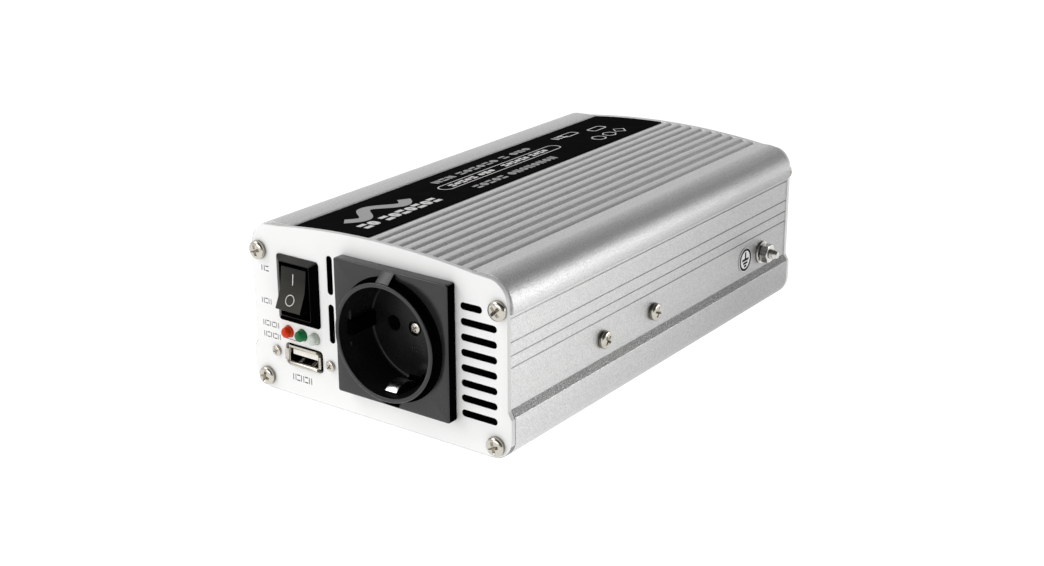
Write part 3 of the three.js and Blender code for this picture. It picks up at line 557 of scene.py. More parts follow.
ALUMINIUM = blasted_aluminium("blasted_aluminium", (0.76, 0.762, 0.755), 0.36)
SHADED_ALUMINIUM = blasted_aluminium("shaded_aluminium", (0.60, 0.60, 0.59), 0.9)
WHITE_COAT = powder_coat("white_powder_coat", 0.855)
SHADED_COAT = powder_coat("shaded_powder_coat", 0.22)
NICKEL = nickel()
# darker nickel, painted shade for the screw heads' rims
RIM_SHADE = nickel("painted_rim_shade", (0.26, 0.245, 0.21), (0.12, 0.25))
# darker brownish nickel, painted shade for the screws' cross recesses
RECESS_SHADE = nickel("painted_recess_shade", (0.20, 0.165, 0.11), (0.3, 0.45))
ZINC = nickel("zinc", (0.66, 0.65, 0.62), (0.2, 0.36))
BRASS = nickel("brass", (0.78, 0.62, 0.33), (0.2, 0.35))
SPRING = nickel("spring_strip", (0.66, 0.655, 0.64), (0.12, 0.24))
USB_METAL = nickel("usb_metal", (0.56, 0.53, 0.47), (0.12, 0.26))
SHADED_METAL = nickel("shaded_metal", (0.09, 0.08, 0.06), (0.2, 0.34))
SOCKET_PLASTIC = black_plastic(
    "socket_plastic", (0.015, 0.0155, 0.016), (0.2, 0.3), 0.35, 0.006, 0.5
)
# darker copy of the socket plastic, painted shade for the inside of the cup
CUP_BLACK = black_plastic("cup_black", (0.0075, 0.0075, 0.008), (0.22, 0.32), 0.4, 0.006, 0.22)
# near-black copy of the black plastic, painted shade for side faces, slot walls and hollows
SHADE_BLACK = black_plastic("painted_shade_black", (0.0012, 0.0012, 0.0012), (0.4, 0.5), 0.4, 0.006, 0.0)
SWITCH_PLASTIC = black_plastic(
    "switch_plastic", (0.012, 0.0116, 0.0098), (0.3, 0.42), 0.3, 0.006, 0.14
)
ROCKER_PLASTIC = rocker_plastic()
BLACK_PLASTIC = black_plastic("black_plastic", (0.018, 0.018, 0.018), (0.4, 0.52), 0.4, 0.01, 0.4)
KNOB_BLACK = black_plastic("knob_black", (0.012, 0.012, 0.012), (0.26, 0.36))
KNOB_RED = black_plastic("knob_red", (0.42, 0.012, 0.01), (0.26, 0.36))
FILM = label_film()
WHITE_FILM = flat_print("white_film", (0.90, 0.90, 0.89), 0.4)
WHITE_INK = flat_print("white_ink", (0.95, 0.95, 0.94))
ROCKER_INK = flat_print("rocker_ink", (0.66, 0.66, 0.64))
SILVER_INK = flat_print("silver_ink", (0.50, 0.50, 0.50))
GREY_INK = flat_print("grey_ink", (0.06, 0.06, 0.06))
BLACK_INK = flat_print("black_ink", (0.006, 0.006, 0.006))
RED_LENS = lens("red_lens", (0.66, 0.036, 0.002), 0.05)
GREEN_LENS = lens("green_lens", (0.012, 0.165, 0.05), 0.05)
CLEAR_LENS = lens("clear_lens", (0.76, 0.82, 0.74), 0.3)
WHITE_INSULATOR = black_plastic("white_insulator", (0.80, 0.76, 0.70), (0.25, 0.35))


# ---------- case extrusions


EXTRUSION_REACH = 0.08


def arch_z(x):
    return CREST_Z - ARCH_FALL * x * x


def ribbed_roof():
    """Roof line of the ribbed side from right to left: rounded ridges between narrow grooves."""
    steps = 16
    points = []
    for i in range(RIB_COUNT * steps + 1):
        across = (i % steps) / steps
        x = RIB_EDGE_X - RIB_PITCH * i / steps
        points.append((x, arch_z(x) - RIB_DEPTH * abs(2 * across - 1) ** 4))
    return points


def wall_and_corner():
    """Outer line of one side: grooved wall, the step under the corner, the round corner."""
    points = [(WALL_X, PART_LINE_Z + 0.05)]
    for z in WALL_GROOVES_Z:
        points += [(WALL_X, z - 0.28), (WALL_X - 0.1, z - 0.22), (WALL_X - 0.4, z - 0.08)]
        points += [(WALL_X - 0.4, z + 0.08), (WALL_X - 0.1, z + 0.22), (WALL_X, z + 0.28)]
    points += [(WALL_X, NUB_Z), (WALL_X + 0.25, NUB_Z + 0.06)]
    points += arc((WALL_X + 0.3, NUB_Z + 1.1), 1.05, -70, -5, 5)
    return points + arc(CORNER, CORNER_R, 0, 90, 32)


def inner_side():
    inner_x = WALL_X - 2
    channel = arc(UPPER_SCREW, 3.5, -80, -230, 12)
    wall = [(inner_x, PART_LINE_Z + 0.05), (inner_x, UPPER_SCREW[1] - 3.3)]
    return [*wall, *channel, (44, arch_z(44) - ROOF)]


def case_outline():
    side = wall_and_corner()
    bed = []
    for i in range(17):
        x = LABEL_X1 + 0.3 + (LABEL_X0 - LABEL_X1 - 0.6) * i / 16
        bed.append((x, arch_z(x) - LABEL_BED))
    band_edge = RIB_EDGE_X + 0.8
    left_edge = LABEL_X0 - 0.65
    ceiling = [(x, arch_z(x) - ROOF) for x in range(33, -34, -11)]
    inner = inner_side() + ceiling + mirrored(inner_side())
    outline = side + [(band_edge, arch_z(band_edge) + 0.1)] + ribbed_roof() + bed
    outline += [(left_edge, arch_z(left_edge) - 0.1), (left_edge - 0.5, arch_z(left_edge) + 0.15)]
    return outline + mirrored(side) + inner[::-1]


def extrusion(name, outline, node):
    """Section drawn along the case, reaching a little into the gap before each panel."""
    low, high = low_high(node)
    near = low.y - EXTRUSION_REACH
    far = high.y + EXTRUSION_REACH
    piece = plate(name, [outline], near, far, 0.0, smooth=28)
    return settle(piece, ALUMINIUM, node)


def tray_half():
    corner = (FLANGE_X - LOWER_CORNER_R, LOWER_CORNER_R)
    points = [(corner[0] - 3.4, 0)]
    points += arc(corner, LOWER_CORNER_R, -90, 0, 14)
    points += arc((FLANGE_X - 0.6, FLANGE_TOP_Z - 0.3), 0.6, 0, 45, 4)
    points += [(WALL_X, PART_LINE_Z), (WALL_X - 2.3, PART_LINE_Z)]
    points += [(WALL_X - 2.3, 30), (WALL_X - 4.3, 30)]
    return points + [(WALL_X - 4.3, 10.7), (49, 10.7), (49, 3.6), (47.6, 2.2)]


def is_slanted_edge(at, normal):
    return abs(normal.x) > 0.4 and normal.z > 0.4 and at.z > 15


def make_extrusions():
    extrusion("case_shell", case_outline(), "upper_case")
    half = tray_half()
    tray = extrusion("base_channel", half + mirrored(half), "base_tray")
    repaint(tray, SHADED_ALUMINIUM, is_slanted_edge)


# ---------- panels


PANEL_EDGE = 0.22
SOCKET_HOLE_R = 22
SWITCH_HOLE = (17.4, 22.8)
USB_HOLE = (17.9, 8.5)
LAMP_HOLE_R = 2.3
SLOT_WIDTH = 2.5
SLOT_PITCH = 5.53
SLOT_X0 = 38.0
SLOT_X1 = 52.9
TOP_SLOT_X1 = 46.9
TOP_SLOT_Z = 52.2
SIDE_SLOTS = 8
TALL_SLOT_X = -20.0
TALL_SLOTS_Z = ((43.4, 57.9), (25.0, 39.7))
GRILLE_RINGS = ((5, 8.5), (11, 14.5), (17, 20.5))
GRILLE_HALF_BRIDGE = 1.3


def panel_outline():
    corner_r = 8.25
    side = arc((FLANGE_X - LOWER_CORNER_R, LOWER_CORNER_R), LOWER_CORNER_R - 0.15, -90, 0, 12)
    side += arc((FLANGE_X - 0.95, FLANGE_TOP_Z - 0.7), 0.8, 0, 45, 3)
    side += arc((WALL_X + 0.9, PART_LINE_Z), 0.6, 225, 180, 3)
    side += arc((WALL_X + 0.3 - corner_r, 55.9), corner_r, 0, 78, 14)
    top = [(44 * (1 - i / 16), arch_z(44 * (1 - i / 16)) + 0.05) for i in range(33)]
    return side + top + mirrored(side)


def slot(x0, x1, z0, z1):
    """Opening with round ends."""
    middle_point = ((x0 + x1) / 2, (z0 + z1) / 2)
    return rounded(middle_point, x1 - x0, z1 - z0, SLOT_WIDTH / 2 - 0.02, 5)


def vent_slots():
    """Flat slots right of the socket, the top one shorter, and two tall ones on its left."""
    half = SLOT_WIDTH / 2
    loops = []
    for i in range(SIDE_SLOTS):
        z = TOP_SLOT_Z - SLOT_PITCH * i
        loops.append(slot(SLOT_X0, SLOT_X1 if i else TOP_SLOT_X1, z - half, z + half))
    for low, high in TALL_SLOTS_Z:
        loops.append(slot(TALL_SLOT_X - half, TALL_SLOT_X + half, low, high))
    return loops


def make_front_panel():
    loops = [panel_outline(), circle((SOCKET.x, SOCKET.z), SOCKET_HOLE_R)]
    loops.append(rounded((SWITCH.x, SWITCH.z), *SWITCH_HOLE, 0.5, 2))
    loops.append(rounded((USB.x, USB.z), *USB_HOLE, 1.5, 5))
    for node in ("led_red", "led_green", "led_clear"):
        place = middle(node)
        loops.append(circle((place.x, place.z), LAMP_HOLE_R, 24))
    panel = plate("front_plate", loops + vent_slots(), FRONT_LOW.y, FRONT_HIGH.y, PANEL_EDGE)
    settle(panel, WHITE_COAT, "front_panel")
    repaint(panel, SHADED_COAT, is_shaded_rim)
    # painted shade: the walls of the vent slots are painted near-black
    repaint(panel, SHADE_BLACK, is_slot_wall)


def is_shaded_rim(at, normal):
    return (abs(at.x) > 54 or at.z < 4) and (normal.x < -0.2 or normal.z < -0.2)


def is_slot_wall(at, normal):
    if at.y < FRONT_Y + 0.1 or abs(normal.y) >= 0.5:
        return False
    beside_socket = 37 < at.x < 54 and 11 < at.z < 54
    in_tall_slot = abs(at.x - TALL_SLOT_X) < 1.6 and 24 < at.z < 59
    return beside_socket or in_tall_slot


def grille_sector(inner, outer, start, end):
    return arc((FAN.x, FAN.z), outer, start, end, 10) + arc((FAN.x, FAN.z), inner, end, start, 10)


def make_rear_panel():
    loops = [panel_outline()]
    for inner, outer in GRILLE_RINGS:
        trim = math.degrees(GRILLE_HALF_BRIDGE / ((inner + outer) / 2))
        for quarter in (0, 90, 180, 270):
            loops.append(grille_sector(inner, outer, quarter + trim, quarter + 90 - trim))
    panel = plate("rear_plate", loops, REAR_LOW.y, REAR_HIGH.y, PANEL_EDGE)
    settle(panel, WHITE_COAT, "rear_panel")


# ---------- screws


FAN_HOLE_OFFSET = 20


def screw_mesh(radius, height, length):
    """Pan-head cross-recess screw along +Y, head underside at 0."""
    shank = radius * 0.41
    dome = [(radius * 0.97, 0.0), (radius, height * 0.08), (radius, height * 0.42)]
    for i in range(1, 10):
        angle = math.radians(9 * i)
        share = 0.42 + 0.58 * math.sin(angle) ** 0.9
        dome.append((radius * math.cos(angle) ** 0.6, height * share))
    tip = [(0, -length), (shank * 0.7, -length), (shank, -length + 0.6), (shank, 0)]
    head = lathe("screw", tip + dome + [(0, height)], (0, 0, 0), steps=48, smooth=40)
    thick = radius * 0.15
    reach = radius * 0.62
    floor = height * 0.25
    carve(head, recess_cutters(thick, reach, floor, height + 0.3), 40)
    round_edges(head, 0.06, 50)
    apply_modifiers(head)
    soften(head, 40)

    def is_recess(at, normal):
        return floor * 0.5 < at.y < height * 0.7 and at.xz.length < reach * 0.95

    def is_rim(at, normal):
        return -0.1 < at.y < height * 0.4 and at.xz.length > radius * 0.9

    head.data.materials.append(NICKEL)
    # painted shade in the cross recess and on the rim of the head
    repaint(head, RECESS_SHADE, is_recess)
    repaint(head, RIM_SHADE, is_rim)
    mesh = head.data
    bpy.data.objects.remove(head)
    return mesh


def recess_cutters(thick, reach, floor, top):
    """The cross of a recess, two tapered slots and a pointed well in the middle."""
    cutters = []
    for turn in (0, 90):
        rings = []
        for y, half, wide in ((floor, reach * 0.4, thick * 0.6), (top, reach * 1.12, thick * 1.2)):
            rings.append([(-half, y, -wide), (half, y, -wide), (half, y, wide), (-half, y, wide)])
        cutter = loft("recess", rings)
        cutter.matrix_world = placed((0, 0, 0), turn)
        cutters.append(cutter)
    well = [(0, floor * 0.6), (thick * 1.1, floor * 0.9), (thick * 2.1, top), (0, top)]
    return cutters + [lathe("recess_middle", well, (0, 0, 0), steps=4)]


def place_screw(name, mesh, place, rotation, turn):
    """A shared screw mesh at a place; rotation takes its head from +Y to where it points."""
    piece = bpy.data.objects.new(name, mesh)
    scene.collection.objects.link(piece)
    piece.matrix_world = placed(place, 0) @ rotation @ placed((0, 0, 0), turn)
    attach(piece, "case")
    return piece


def put_screw(node, mesh, direction, turn):
    """Places a shared screw mesh where a CAD screw is; direction is where its head points."""
    low, high = low_high(node)
    height = max(v.co.y for v in mesh.vertices) / MM
    place = (low + high) / 2
    axis = "XY".index(direction[1])
    place[axis] = high[axis] - height if direction[0] == "+" else low[axis] + height
    rotation = {
        "-Y": Matrix.Rotation(math.pi, 4, "X"),
        "+Y": Matrix.Identity(4),
        "+X": Matrix.Rotation(-math.pi / 2, 4, "Z"),
        "-X": Matrix.Rotation(math.pi / 2, 4, "Z"),
    }[direction]
    piece = place_screw(f"{node}_detail", mesh, place, rotation, turn)
    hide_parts(node)


def make_screws():
    panel_mesh = screw_mesh(3.55, 2.4, 11)
    side_mesh = screw_mesh(3.4, 2.2, 9)
    turn = 12
    for level in ("upper", "lower"):
        for side in ("left", "right"):
            put_screw(f"front_screw_{level}_{side}", panel_mesh, "-Y", turn)
            put_screw(f"rear_screw_{level}_{side}", panel_mesh, "+Y", turn * 2)
            turn += 31
    for end in ("front", "rear"):
        put_screw(f"side_screw_right_{end}", side_mesh, "+X", turn)
        put_screw(f"side_screw_left_{end}", side_mesh, "-X", turn + 9)
        turn += 23
    small_mesh = screw_mesh(2.0, 1.2, 15.5)
    put_screw("usb_screw_left", small_mesh, "-Y", 20)
    put_screw("usb_screw_right", small_mesh, "-Y", 52)
    socket_mesh = screw_mesh(2.35, 1.4, 14.5)
    put_screw("socket_center_screw", socket_mesh, "-Y", 35)
    fan_mesh = screw_mesh(2.6, 1.6, 6)
    for across, dx in (("a", -FAN_HOLE_OFFSET), ("b", FAN_HOLE_OFFSET)):
        for up, dz in (("a", -FAN_HOLE_OFFSET), ("b", FAN_HOLE_OFFSET)):
            place = (FAN.x + dx, REAR_Y, FAN.z + dz)
            screw = f"fan_screw_{across}{up}"
            place_screw(screw, fan_mesh, place, Matrix.Identity(4), 17 + dx + 2 * dz)


# ---------- mains socket


SOCKET_FRONT_Y = low_high("socket_cover")[0].y
SOCKET_PLATE_Y = SOCKET.y - 4.5
SOCKET_FLOOR_Y = SOCKET_FRONT_Y + 17.5
SOCKET_SIDE = 50.0
RING_R = 22.6
MOUTH_R = 19.85
CUP_R = 19.6
PIN_OFFSET = 9.5
PIN_R = 2.75
WINDOW_OFFSET = 20.4


def settle_socket(piece, material=SOCKET_PLASTIC):
    settle(piece, material, "socket_cover")


def make_socket_plate():
    x, y, z = SOCKET
    loops = [rounded((x, z), SOCKET_SIDE, SOCKET_SIDE, 0.9, 5), circle((x, z), 20.6, 96)]
    base = plate("socket_plate", loops, SOCKET_PLATE_Y, y - 0.08, 0.55, steps=4)
    settle_socket(base)
    # painted shade: the plate's side faces are painted near-black
    repaint(base, SHADE_BLACK, lambda at, normal: normal.y > -0.35 and normal.z < 0.5)


def cup_profile(plate_at, front_at, floor_at):
    """Section of the raised ring and the cup behind it, from the panel's face."""
    line = [(RING_R, plate_at)]
    line += arc((RING_R, plate_at - 1.1), 1.1, 90, 180, 6)[1:]
    line += arc((RING_R - 1.65, front_at + 0.55), 0.55, 0, -90, 6)
    line += arc((MOUTH_R + 0.45, front_at + 0.45), 0.45, -90, -180, 6)
    line += arc((CUP_R - 1.2, floor_at - 1.2), 1.2, 0, 90, 6)
    line += [(0, floor_at), (0, floor_at + 2), (21.2, floor_at + 2), (21.2, plate_at + 1)]
    return line + [(RING_R, plate_at + 1)]


def make_socket_cup():
    """Ring and cup with its pin holes, the clips' windows, a square hole and the screw's well."""
    x, y, z = SOCKET
    floor_at = SOCKET_FLOOR_Y - y
    section = cup_profile(SOCKET_PLATE_Y - y, SOCKET_FRONT_Y - y, floor_at)
    cup = lathe("socket_cup", section, SOCKET, steps=128, closed=True)
    pin = [(0, floor_at - 1), (3.6, floor_at - 1), (PIN_R, floor_at + 0.35), (PIN_R, floor_at + 3)]
    pin.append((0, floor_at + 3))
    cutters = []
    for side in (-1, 1):
        cutters.append(lathe("pin_hole", pin, (x + side * PIN_OFFSET, y, z), steps=48))
        middle_z = z + side * WINDOW_OFFSET
        low = (x - 3.1, y + 3, middle_z - 2.6)
        cutters.append(block("window", low, (x + 3.1, SOCKET_FLOOR_Y + 0.9, middle_z + 2.6), 0))
    low = (x + 2.6, SOCKET_FLOOR_Y - 1, z - 20)
    cutters.append(block("square_hole", low, (x + 5.6, SOCKET_FLOOR_Y + 1.4, z - 16.6), 0))
    well = [(0, floor_at - 1), (2.9, floor_at - 1), (2.7, floor_at + 0.9), (1.7, floor_at + 1)]
    cutters.append(lathe("well", [*well, (1.7, floor_at + 3), (0, floor_at + 3)], SOCKET, steps=40))
    carve(cup, cutters)

    def is_inside(at, normal):
        return at.y > SOCKET_FRONT_Y + 0.5 and math.hypot(at.x - x, at.z - z) < CUP_R + 0.2

    settle_socket(cup)
    # painted shade: the ring's outer wall and all behind the front are near-black, the inside of
    # the cup a darker copy of the plate plastic
    repaint(cup, SHADE_BLACK, lambda at, normal: at.y > SOCKET_FRONT_Y + 0.5 or normal.y > -0.35)
    repaint(cup, CUP_BLACK, is_inside)
    # painted shade: a near-black disc deep in each pin hole stands in for the shade there
    hole_shade_r = PIN_R - 0.03
    hole_shade = [(0, floor_at + 1.3), (hole_shade_r, floor_at + 1.3), (hole_shade_r, floor_at + 1.9)]
    hole_shade.append((0, floor_at + 1.9))
    for side, word in ((-1, "left"), (1, "right")):
        disc = lathe(f"socket_pin_hole_shade_{word}", hole_shade, (x + side * PIN_OFFSET, y, z), steps=48)
        settle_socket(disc, SHADE_BLACK)


def make_socket_ribs():
    """Side ridges and small catches in the cup, and the two gussets that hold up the ring."""
    x = SOCKET.x
    z = SOCKET.z
    for side, word in ((-1, "left"), (1, "right")):
        far = x + side * 20.4
        near = x + side * 17.5
        low = (min(near, far), SOCKET_FRONT_Y + 4.6, z - 2.7)
        high = (max(near, far), SOCKET_FLOOR_Y + 0.3, z + 2.7)
        # painted shade: the side ridges deep in the cup are painted near-black
        settle_socket(block(f"socket_ridge_{word}", low, high, 0.7, 4), SHADE_BLACK)
    catches = []
    for dz in (5.2, -7.3):
        low = (x - 19.4, SOCKET_FRONT_Y + 5.0, z + dz - 2.1)
        catches.append(block("catch", low, (x - 18.5, SOCKET_FRONT_Y + 5.8, z + dz + 2.1), 0.2))
    settle_socket(join_pieces("socket_catches", catches))
    front = SOCKET_FRONT_Y + 0.65
    gusset = [(front, 20.2), (SOCKET_PLATE_Y + 0.3, 20.2), (SOCKET_PLATE_Y + 0.3, 24.6)]
    gusset += [(SOCKET_PLATE_Y - 0.05, 24.6), (front, 21.4)]
    for side, word in ((1, "upper"), (-1, "lower")):
        outline = [(a, z + side * b) for a, b in gusset]
        piece = plate(f"socket_gusset_{word}", [outline], x - 2.85, x + 2.85, 0.18, axis="X")
        settle_socket(piece)
        # painted shade: the gussets' right and lower faces are painted near-black
        repaint(piece, SHADE_BLACK, lambda at, normal: normal.x > 0.6 or normal.z < -0.5)


def make_socket_floor_marks():
    outlines = []
    for dx, dz, width, count in ((2.2, 9.8, 4.4, 3), (1.4, -5.6, 3.2, 2), (-1.4, -8.6, 6.0, 4)):
        outlines += legend(SOCKET.x + dx, SOCKET.z + dz, width, 1.7, (count,), 0.16)
    marks = flat_marks("socket_floor_marks", outlines, SOCKET_FLOOR_Y - 0.08, SOCKET_FLOOR_Y + 0.1)
    settle_socket(marks, BLACK_PLASTIC)


def make_earth_clip():
    """Spring strap: each arm enters the cup by its window and bows inwards to meet the plug."""
    x, y, z = SOCKET
    half = 2.5
    line = [(13.4, 0.0), (13.4, 20.5), (13.0, 22.0), (11.6, 22.5), (7.2, 22.5), (6.0, 21.4)]
    line += [(5.0, 19.0), (3.4, 17.9), (1.6, 17.3), (0.0, 17.1), (-1.6, 17.3), (-3.0, 17.9)]
    line += [(-4.1, 18.7), (-4.8, 19.4)]
    thickness = 0.7
    inner = []
    for i, (a, b) in enumerate(line):
        before = Vector(line[max(i - 1, 0)])
        after = Vector(line[min(i + 1, len(line) - 1)])
        along = (after - before).normalized()
        inner.append((a - along.y * thickness, b + along.x * thickness if i else 0.0))
    for side, word in ((1, "upper"), (-1, "lower")):
        outline = [(y + a, z + side * b) for a, b in line + inner[::-1]]
        arm = plate(f"earth_clip_{word}", [outline], x - half, x + half, 0.12, axis="X", smooth=50)
        settle(arm, SPRING, "socket_earth_clip")


# ---------- rocker switch


FACE_HALF = 7.85
FACE_REACH = 5.1
FACE_SLOPE = math.tan(math.radians(9))
MARK_RISE = 0.03
MARK_ROOT = 0.05


def make_switch():
    x, y, z = SWITCH
    rings = []
    for depth, width, height, rise, radius in (
        (19.0, 17.0, 22.4, 0, 0.4),
        (-0.05, 17.0, 22.4, 0, 0.4),
        (-0.06, 19.9, 25.3, 0, 1.3),
        (-0.42, 19.9, 25.3, 0, 1.3),
        (-0.58, 19.55, 25.0, 0, 1.2),
        (-2.02, 14.9, 21.1, 0.35, 0.7),
        (-2.18, 14.45, 20.75, 0.35, 0.6),
        (-2.2, 14.2, 20.5, 0.35, 0.5),
        (-2.12, 13.98, 20.36, 0.35, 0.45),
        (-1.9, 13.9, 20.3, 0.35, 0.4),
        (9.0, 13.7, 20.1, 0.35, 0.4),
    ):
        loop = rounded((x, z + rise), width, height, radius, 4)
        rings.append([(a, y + depth, b) for a, b in loop])
    housing = loft("switch_frame", rings, 35)
    settle(housing, SWITCH_PLASTIC, "switch_housing")
    repaint(housing, SHADE_BLACK, is_away_from_light)


def is_away_from_light(at, normal):
    return normal.x > 0.35 or normal.z < -0.35 or at.y > SWITCH.y + 0.3


def rocker_face(along):
    """Reach of the dished face in front of the pivot, at a distance along it from the middle."""
    return FACE_REACH + FACE_SLOPE * (math.sqrt(along * along + 2.2) - 0.9)


def make_rocker():
    joint = next(j for j in frame["joints"] if j["child"] == "switch_rocker")
    pivot = Vector(joint["pos_m"])
    half_range = math.radians(joint["range_deg"][1] / 2)
    lean = Matrix.Translation(pivot) @ Matrix.Rotation(-half_range, 4, "X")
    steps = 15
    face = []
    for i in range(-steps, steps + 1):
        along = (FACE_HALF - 0.3) * i / steps
        face.append((-rocker_face(along), along))
    tip = -rocker_face(FACE_HALF)
    upper = [(tip + 0.06, FACE_HALF - 0.08), (tip + 0.3, FACE_HALF), (tip + 0.8, FACE_HALF)]
    upper += [(-0.6, 7.1), (2.6, 3.4), (4.8, 1.4)]
    lower = [(a, -b) for a, b in reversed(upper)]
    body = plate("rocker_body", [face + upper + lower], -6, 6, 0.35, axis="X", steps=4, smooth=25)
    pin_profile = [(0, -8), (1.2, -8), (1.2, 8), (0, 8)]
    pins = lathe("rocker_pins", pin_profile, (0, 0, 0), axis="X", steps=24)
    for piece, material in (
        (body, ROCKER_PLASTIC),
        (pins, ROCKER_PLASTIC),
        (rocker_on_mark(), ROCKER_INK),
        (rocker_off_mark(), ROCKER_INK),
    ):
        piece.data.transform(lean)
        settle(piece, material, "switch_rocker", body="switch_rocker")
    # painted shade: the rocker's side faces are painted near-black
    repaint(body, SHADE_BLACK, lambda at, normal: abs(normal.x) > 0.6)


def on_rocker(across, along, lift):
    """Point over the rocker's dished face."""
    return (across, -rocker_face(along) - lift, along)


def rocker_on_mark():
    """Thin bar that follows the face."""
    steps = 12
    rings = []
    for i in range(steps + 1):
        along = 1.6 + 4.1 * i / steps
        corners = ((-0.19, -MARK_ROOT), (-0.19, MARK_RISE), (0.19, MARK_RISE), (0.19, -MARK_ROOT))
        rings.append([on_rocker(across, along, lift) for across, lift in corners])
    return loft("rocker_on_mark", rings)


def rocker_off_mark():
    """Thin ring that follows the face."""
    bm = bmesh.new()
    rings = []
    section = ((2.1, MARK_RISE), (1.78, MARK_RISE), (1.78, -MARK_ROOT), (2.1, -MARK_ROOT))
    for radius, lift in section:
        loop = circle((0, -3.85), radius, 40)
        rings.append([bm.verts.new(on_rocker(a, b, lift)) for a, b in loop])
    for lower, upper in zip(rings, rings[1:] + rings[:1]):
        skin(bm, lower, upper)
    return to_piece("rocker_off_mark", bm)


# ---------- USB port and lamps


def make_usb_shell():
    """Thin tube with a rounded mouth and four flared lips."""
    x, y, z = USB
    rings = []
    for depth, width, height, radius in (
        (13.9, 14.2, 6.2, 0.5),
        (-0.2, 14.2, 6.2, 0.5),
        (-0.3, 14.1, 6.1, 0.5),
        (-0.3, 13.9, 5.9, 0.45),
        (-0.2, 13.75, 5.75, 0.4),
        (0.6, 13.7, 5.7, 0.4),
        (12.8, 13.7, 5.7, 0.4),
    ):
        loop = rounded((0, 0), width, height, radius, 4)
        rings.append([(x + a, y + depth, z + b) for a, b in loop])

    def is_inside(at, normal):
        return at.y > y + 1 and abs(at.x - x) < 6.9 and abs(at.z - z) < 2.9

    tube = loft("usb_tube", rings)
    settle(tube, USB_METAL, "usb_shell")
    repaint(tube, SHADED_METAL, is_inside)
    curve = [(0.2, -0.35), (-0.35, -0.3), (-0.75, 0.0), (-0.98, 0.5), (-1.06, 1.02), (-0.72, 1.05)]
    curve += [(-0.62, 0.6), (-0.4, 0.15), (0.2, 0.0)]
    lips = []
    for side in (1, -1):
        outline = [(y + a, z + side * (2.9 + b)) for a, b in curve]
        lips.append(plate("lip", [outline], x - 6.7, x + 6.7, 0.12, axis="X", smooth=40))
    for side in (1, -1):
        outline = [(x + side * (7.55 + b), y + a) for a, b in curve]
        lips.append(plate("lip", [outline], z - 2.3, z + 2.3, 0.12, axis="Z", smooth=40))
    settle(join_pieces("usb_lips", lips), USB_METAL, "usb_shell")


def make_usb_insides():
    """White tongue, its four contacts on the underside, and the two springs below it."""
    x, y, z = USB
    low, high = low_high("usb_tongue")
    low += Vector((-0.5, 0, -0.35))
    high += Vector((0.9, 0, 0.45))
    tongue = block("usb_tongue_body", low, high, 0.25, 3)
    settle(tongue, WHITE_INSULATOR, "usb_tongue")
    contacts = []
    for i in range(4):
        centre = x + (i - 1.5) * 2.3
        near = (centre - 0.5, low.y + 0.5, low.z - 0.12)
        far = (centre + 0.5, high.y - 1, low.z + 0.1)
        contacts.append(block("contact", near, far, 0.05, 1))
    bow = [(1.0, -2.6), (3.0, -1.9), (5.0, -2.6), (5.0, -2.75), (1.0, -2.75)]
    outline = [(y + a, z + b) for a, b in bow]
    springs = []
    for centre in (x - 3.1, x + 3.1):
        springs.append(plate("spring", [outline], centre - 0.9, centre + 0.9, 0.05, axis="X"))
    settle(join_pieces("usb_contacts", contacts), BRASS, "usb_tongue")
    settle(join_pieces("usb_springs", springs), SPRING, "usb_shell")


def make_lamp(node, material, flat=False):
    """Lens with a round dome, or with a flatter one that stands out a little less."""
    place = middle(node)
    radius = 2.1
    dome = radius
    tip = low_high(node)[0].y - FRONT_Y
    if flat:
        dome *= 0.55
        tip += 0.35
    profile = []
    for i in range(13):
        angle = math.radians(90 * i / 12)
        profile.append((radius * math.sin(angle), tip + dome * (1 - math.cos(angle))))
    profile += [(radius, PANEL + 0.1), (2.6, PANEL + 0.1), (2.6, PANEL + 1.1), (0, PANEL + 1.1)]
    body = lathe(f"{node}_lens", profile, (place.x, FRONT_Y, place.z), steps=48)
    settle(body, material, node)


# ---------- labels


# rows on the roof: start, length, height, marks in each group, weight, place of their feet
WHITE_ROWS = (
    (8, 43, 5.6, (2, 7), 0.44, -10.5),
    (67, 28, 3.3, (5, 3), 0.46, -18.6),
    (101, 30, 3.3, (6, 4), 0.46, -18.6),
    (148, 8, 4.2, (2,), 0.3, -26.0),
)
GREY_ROWS = (
    (68, 63, 3.9, (3, 6, 1, 3), 0.4, -27.1),
    (70, 53, 3.9, (5, 8), 0.4, -8.5),
)

# half width, low edge and high edge of the earth symbol's stem and three bars
EARTH_BARS = ((0.5, 0.1, 3.2), (2.6, -0.5, 0.5), (1.8, -1.85, -0.95), (0.95, -3.1, -2.2))


def strip_on_roof(name, loop, lift, thickness, steps_per_mm=0.6):
    """Thin flat shape laid on the arched roof; loop is in x and y, cut finely across the arch."""
    xs = [p[0] for p in loop]
    low_x = min(xs)
    high_x = max(xs)
    bm = bmesh.new()
    verts = [bm.verts.new((a, b, 0)) for a, b in loop]
    face = bm.faces.new(verts)
    bmesh.ops.triangulate(bm, faces=[face])
    cuts = max(1, int((high_x - low_x) * steps_per_mm))
    for i in range(1, cuts):
        x = low_x + (high_x - low_x) * i / cuts
        everything = bm.verts[:] + bm.edges[:] + bm.faces[:]
        bmesh.ops.bisect_plane(bm, geom=everything, plane_co=(x, 0, 0), plane_no=(1, 0, 0))
    result = bmesh.ops.extrude_face_region(bm, geom=bm.faces[:])
    for item in result["geom"]:
        if isinstance(item, bmesh.types.BMVert):
            item.co.z = -thickness
    for vert in bm.verts:
        vert.co.z += arch_z(vert.co.x) - LABEL_TOP + lift
    return to_piece(name, bm, 20)


def bar(x0, x1, y0, y1):
    return [(x0, y0), (x1, y0), (x1, y1), (x0, y1)]


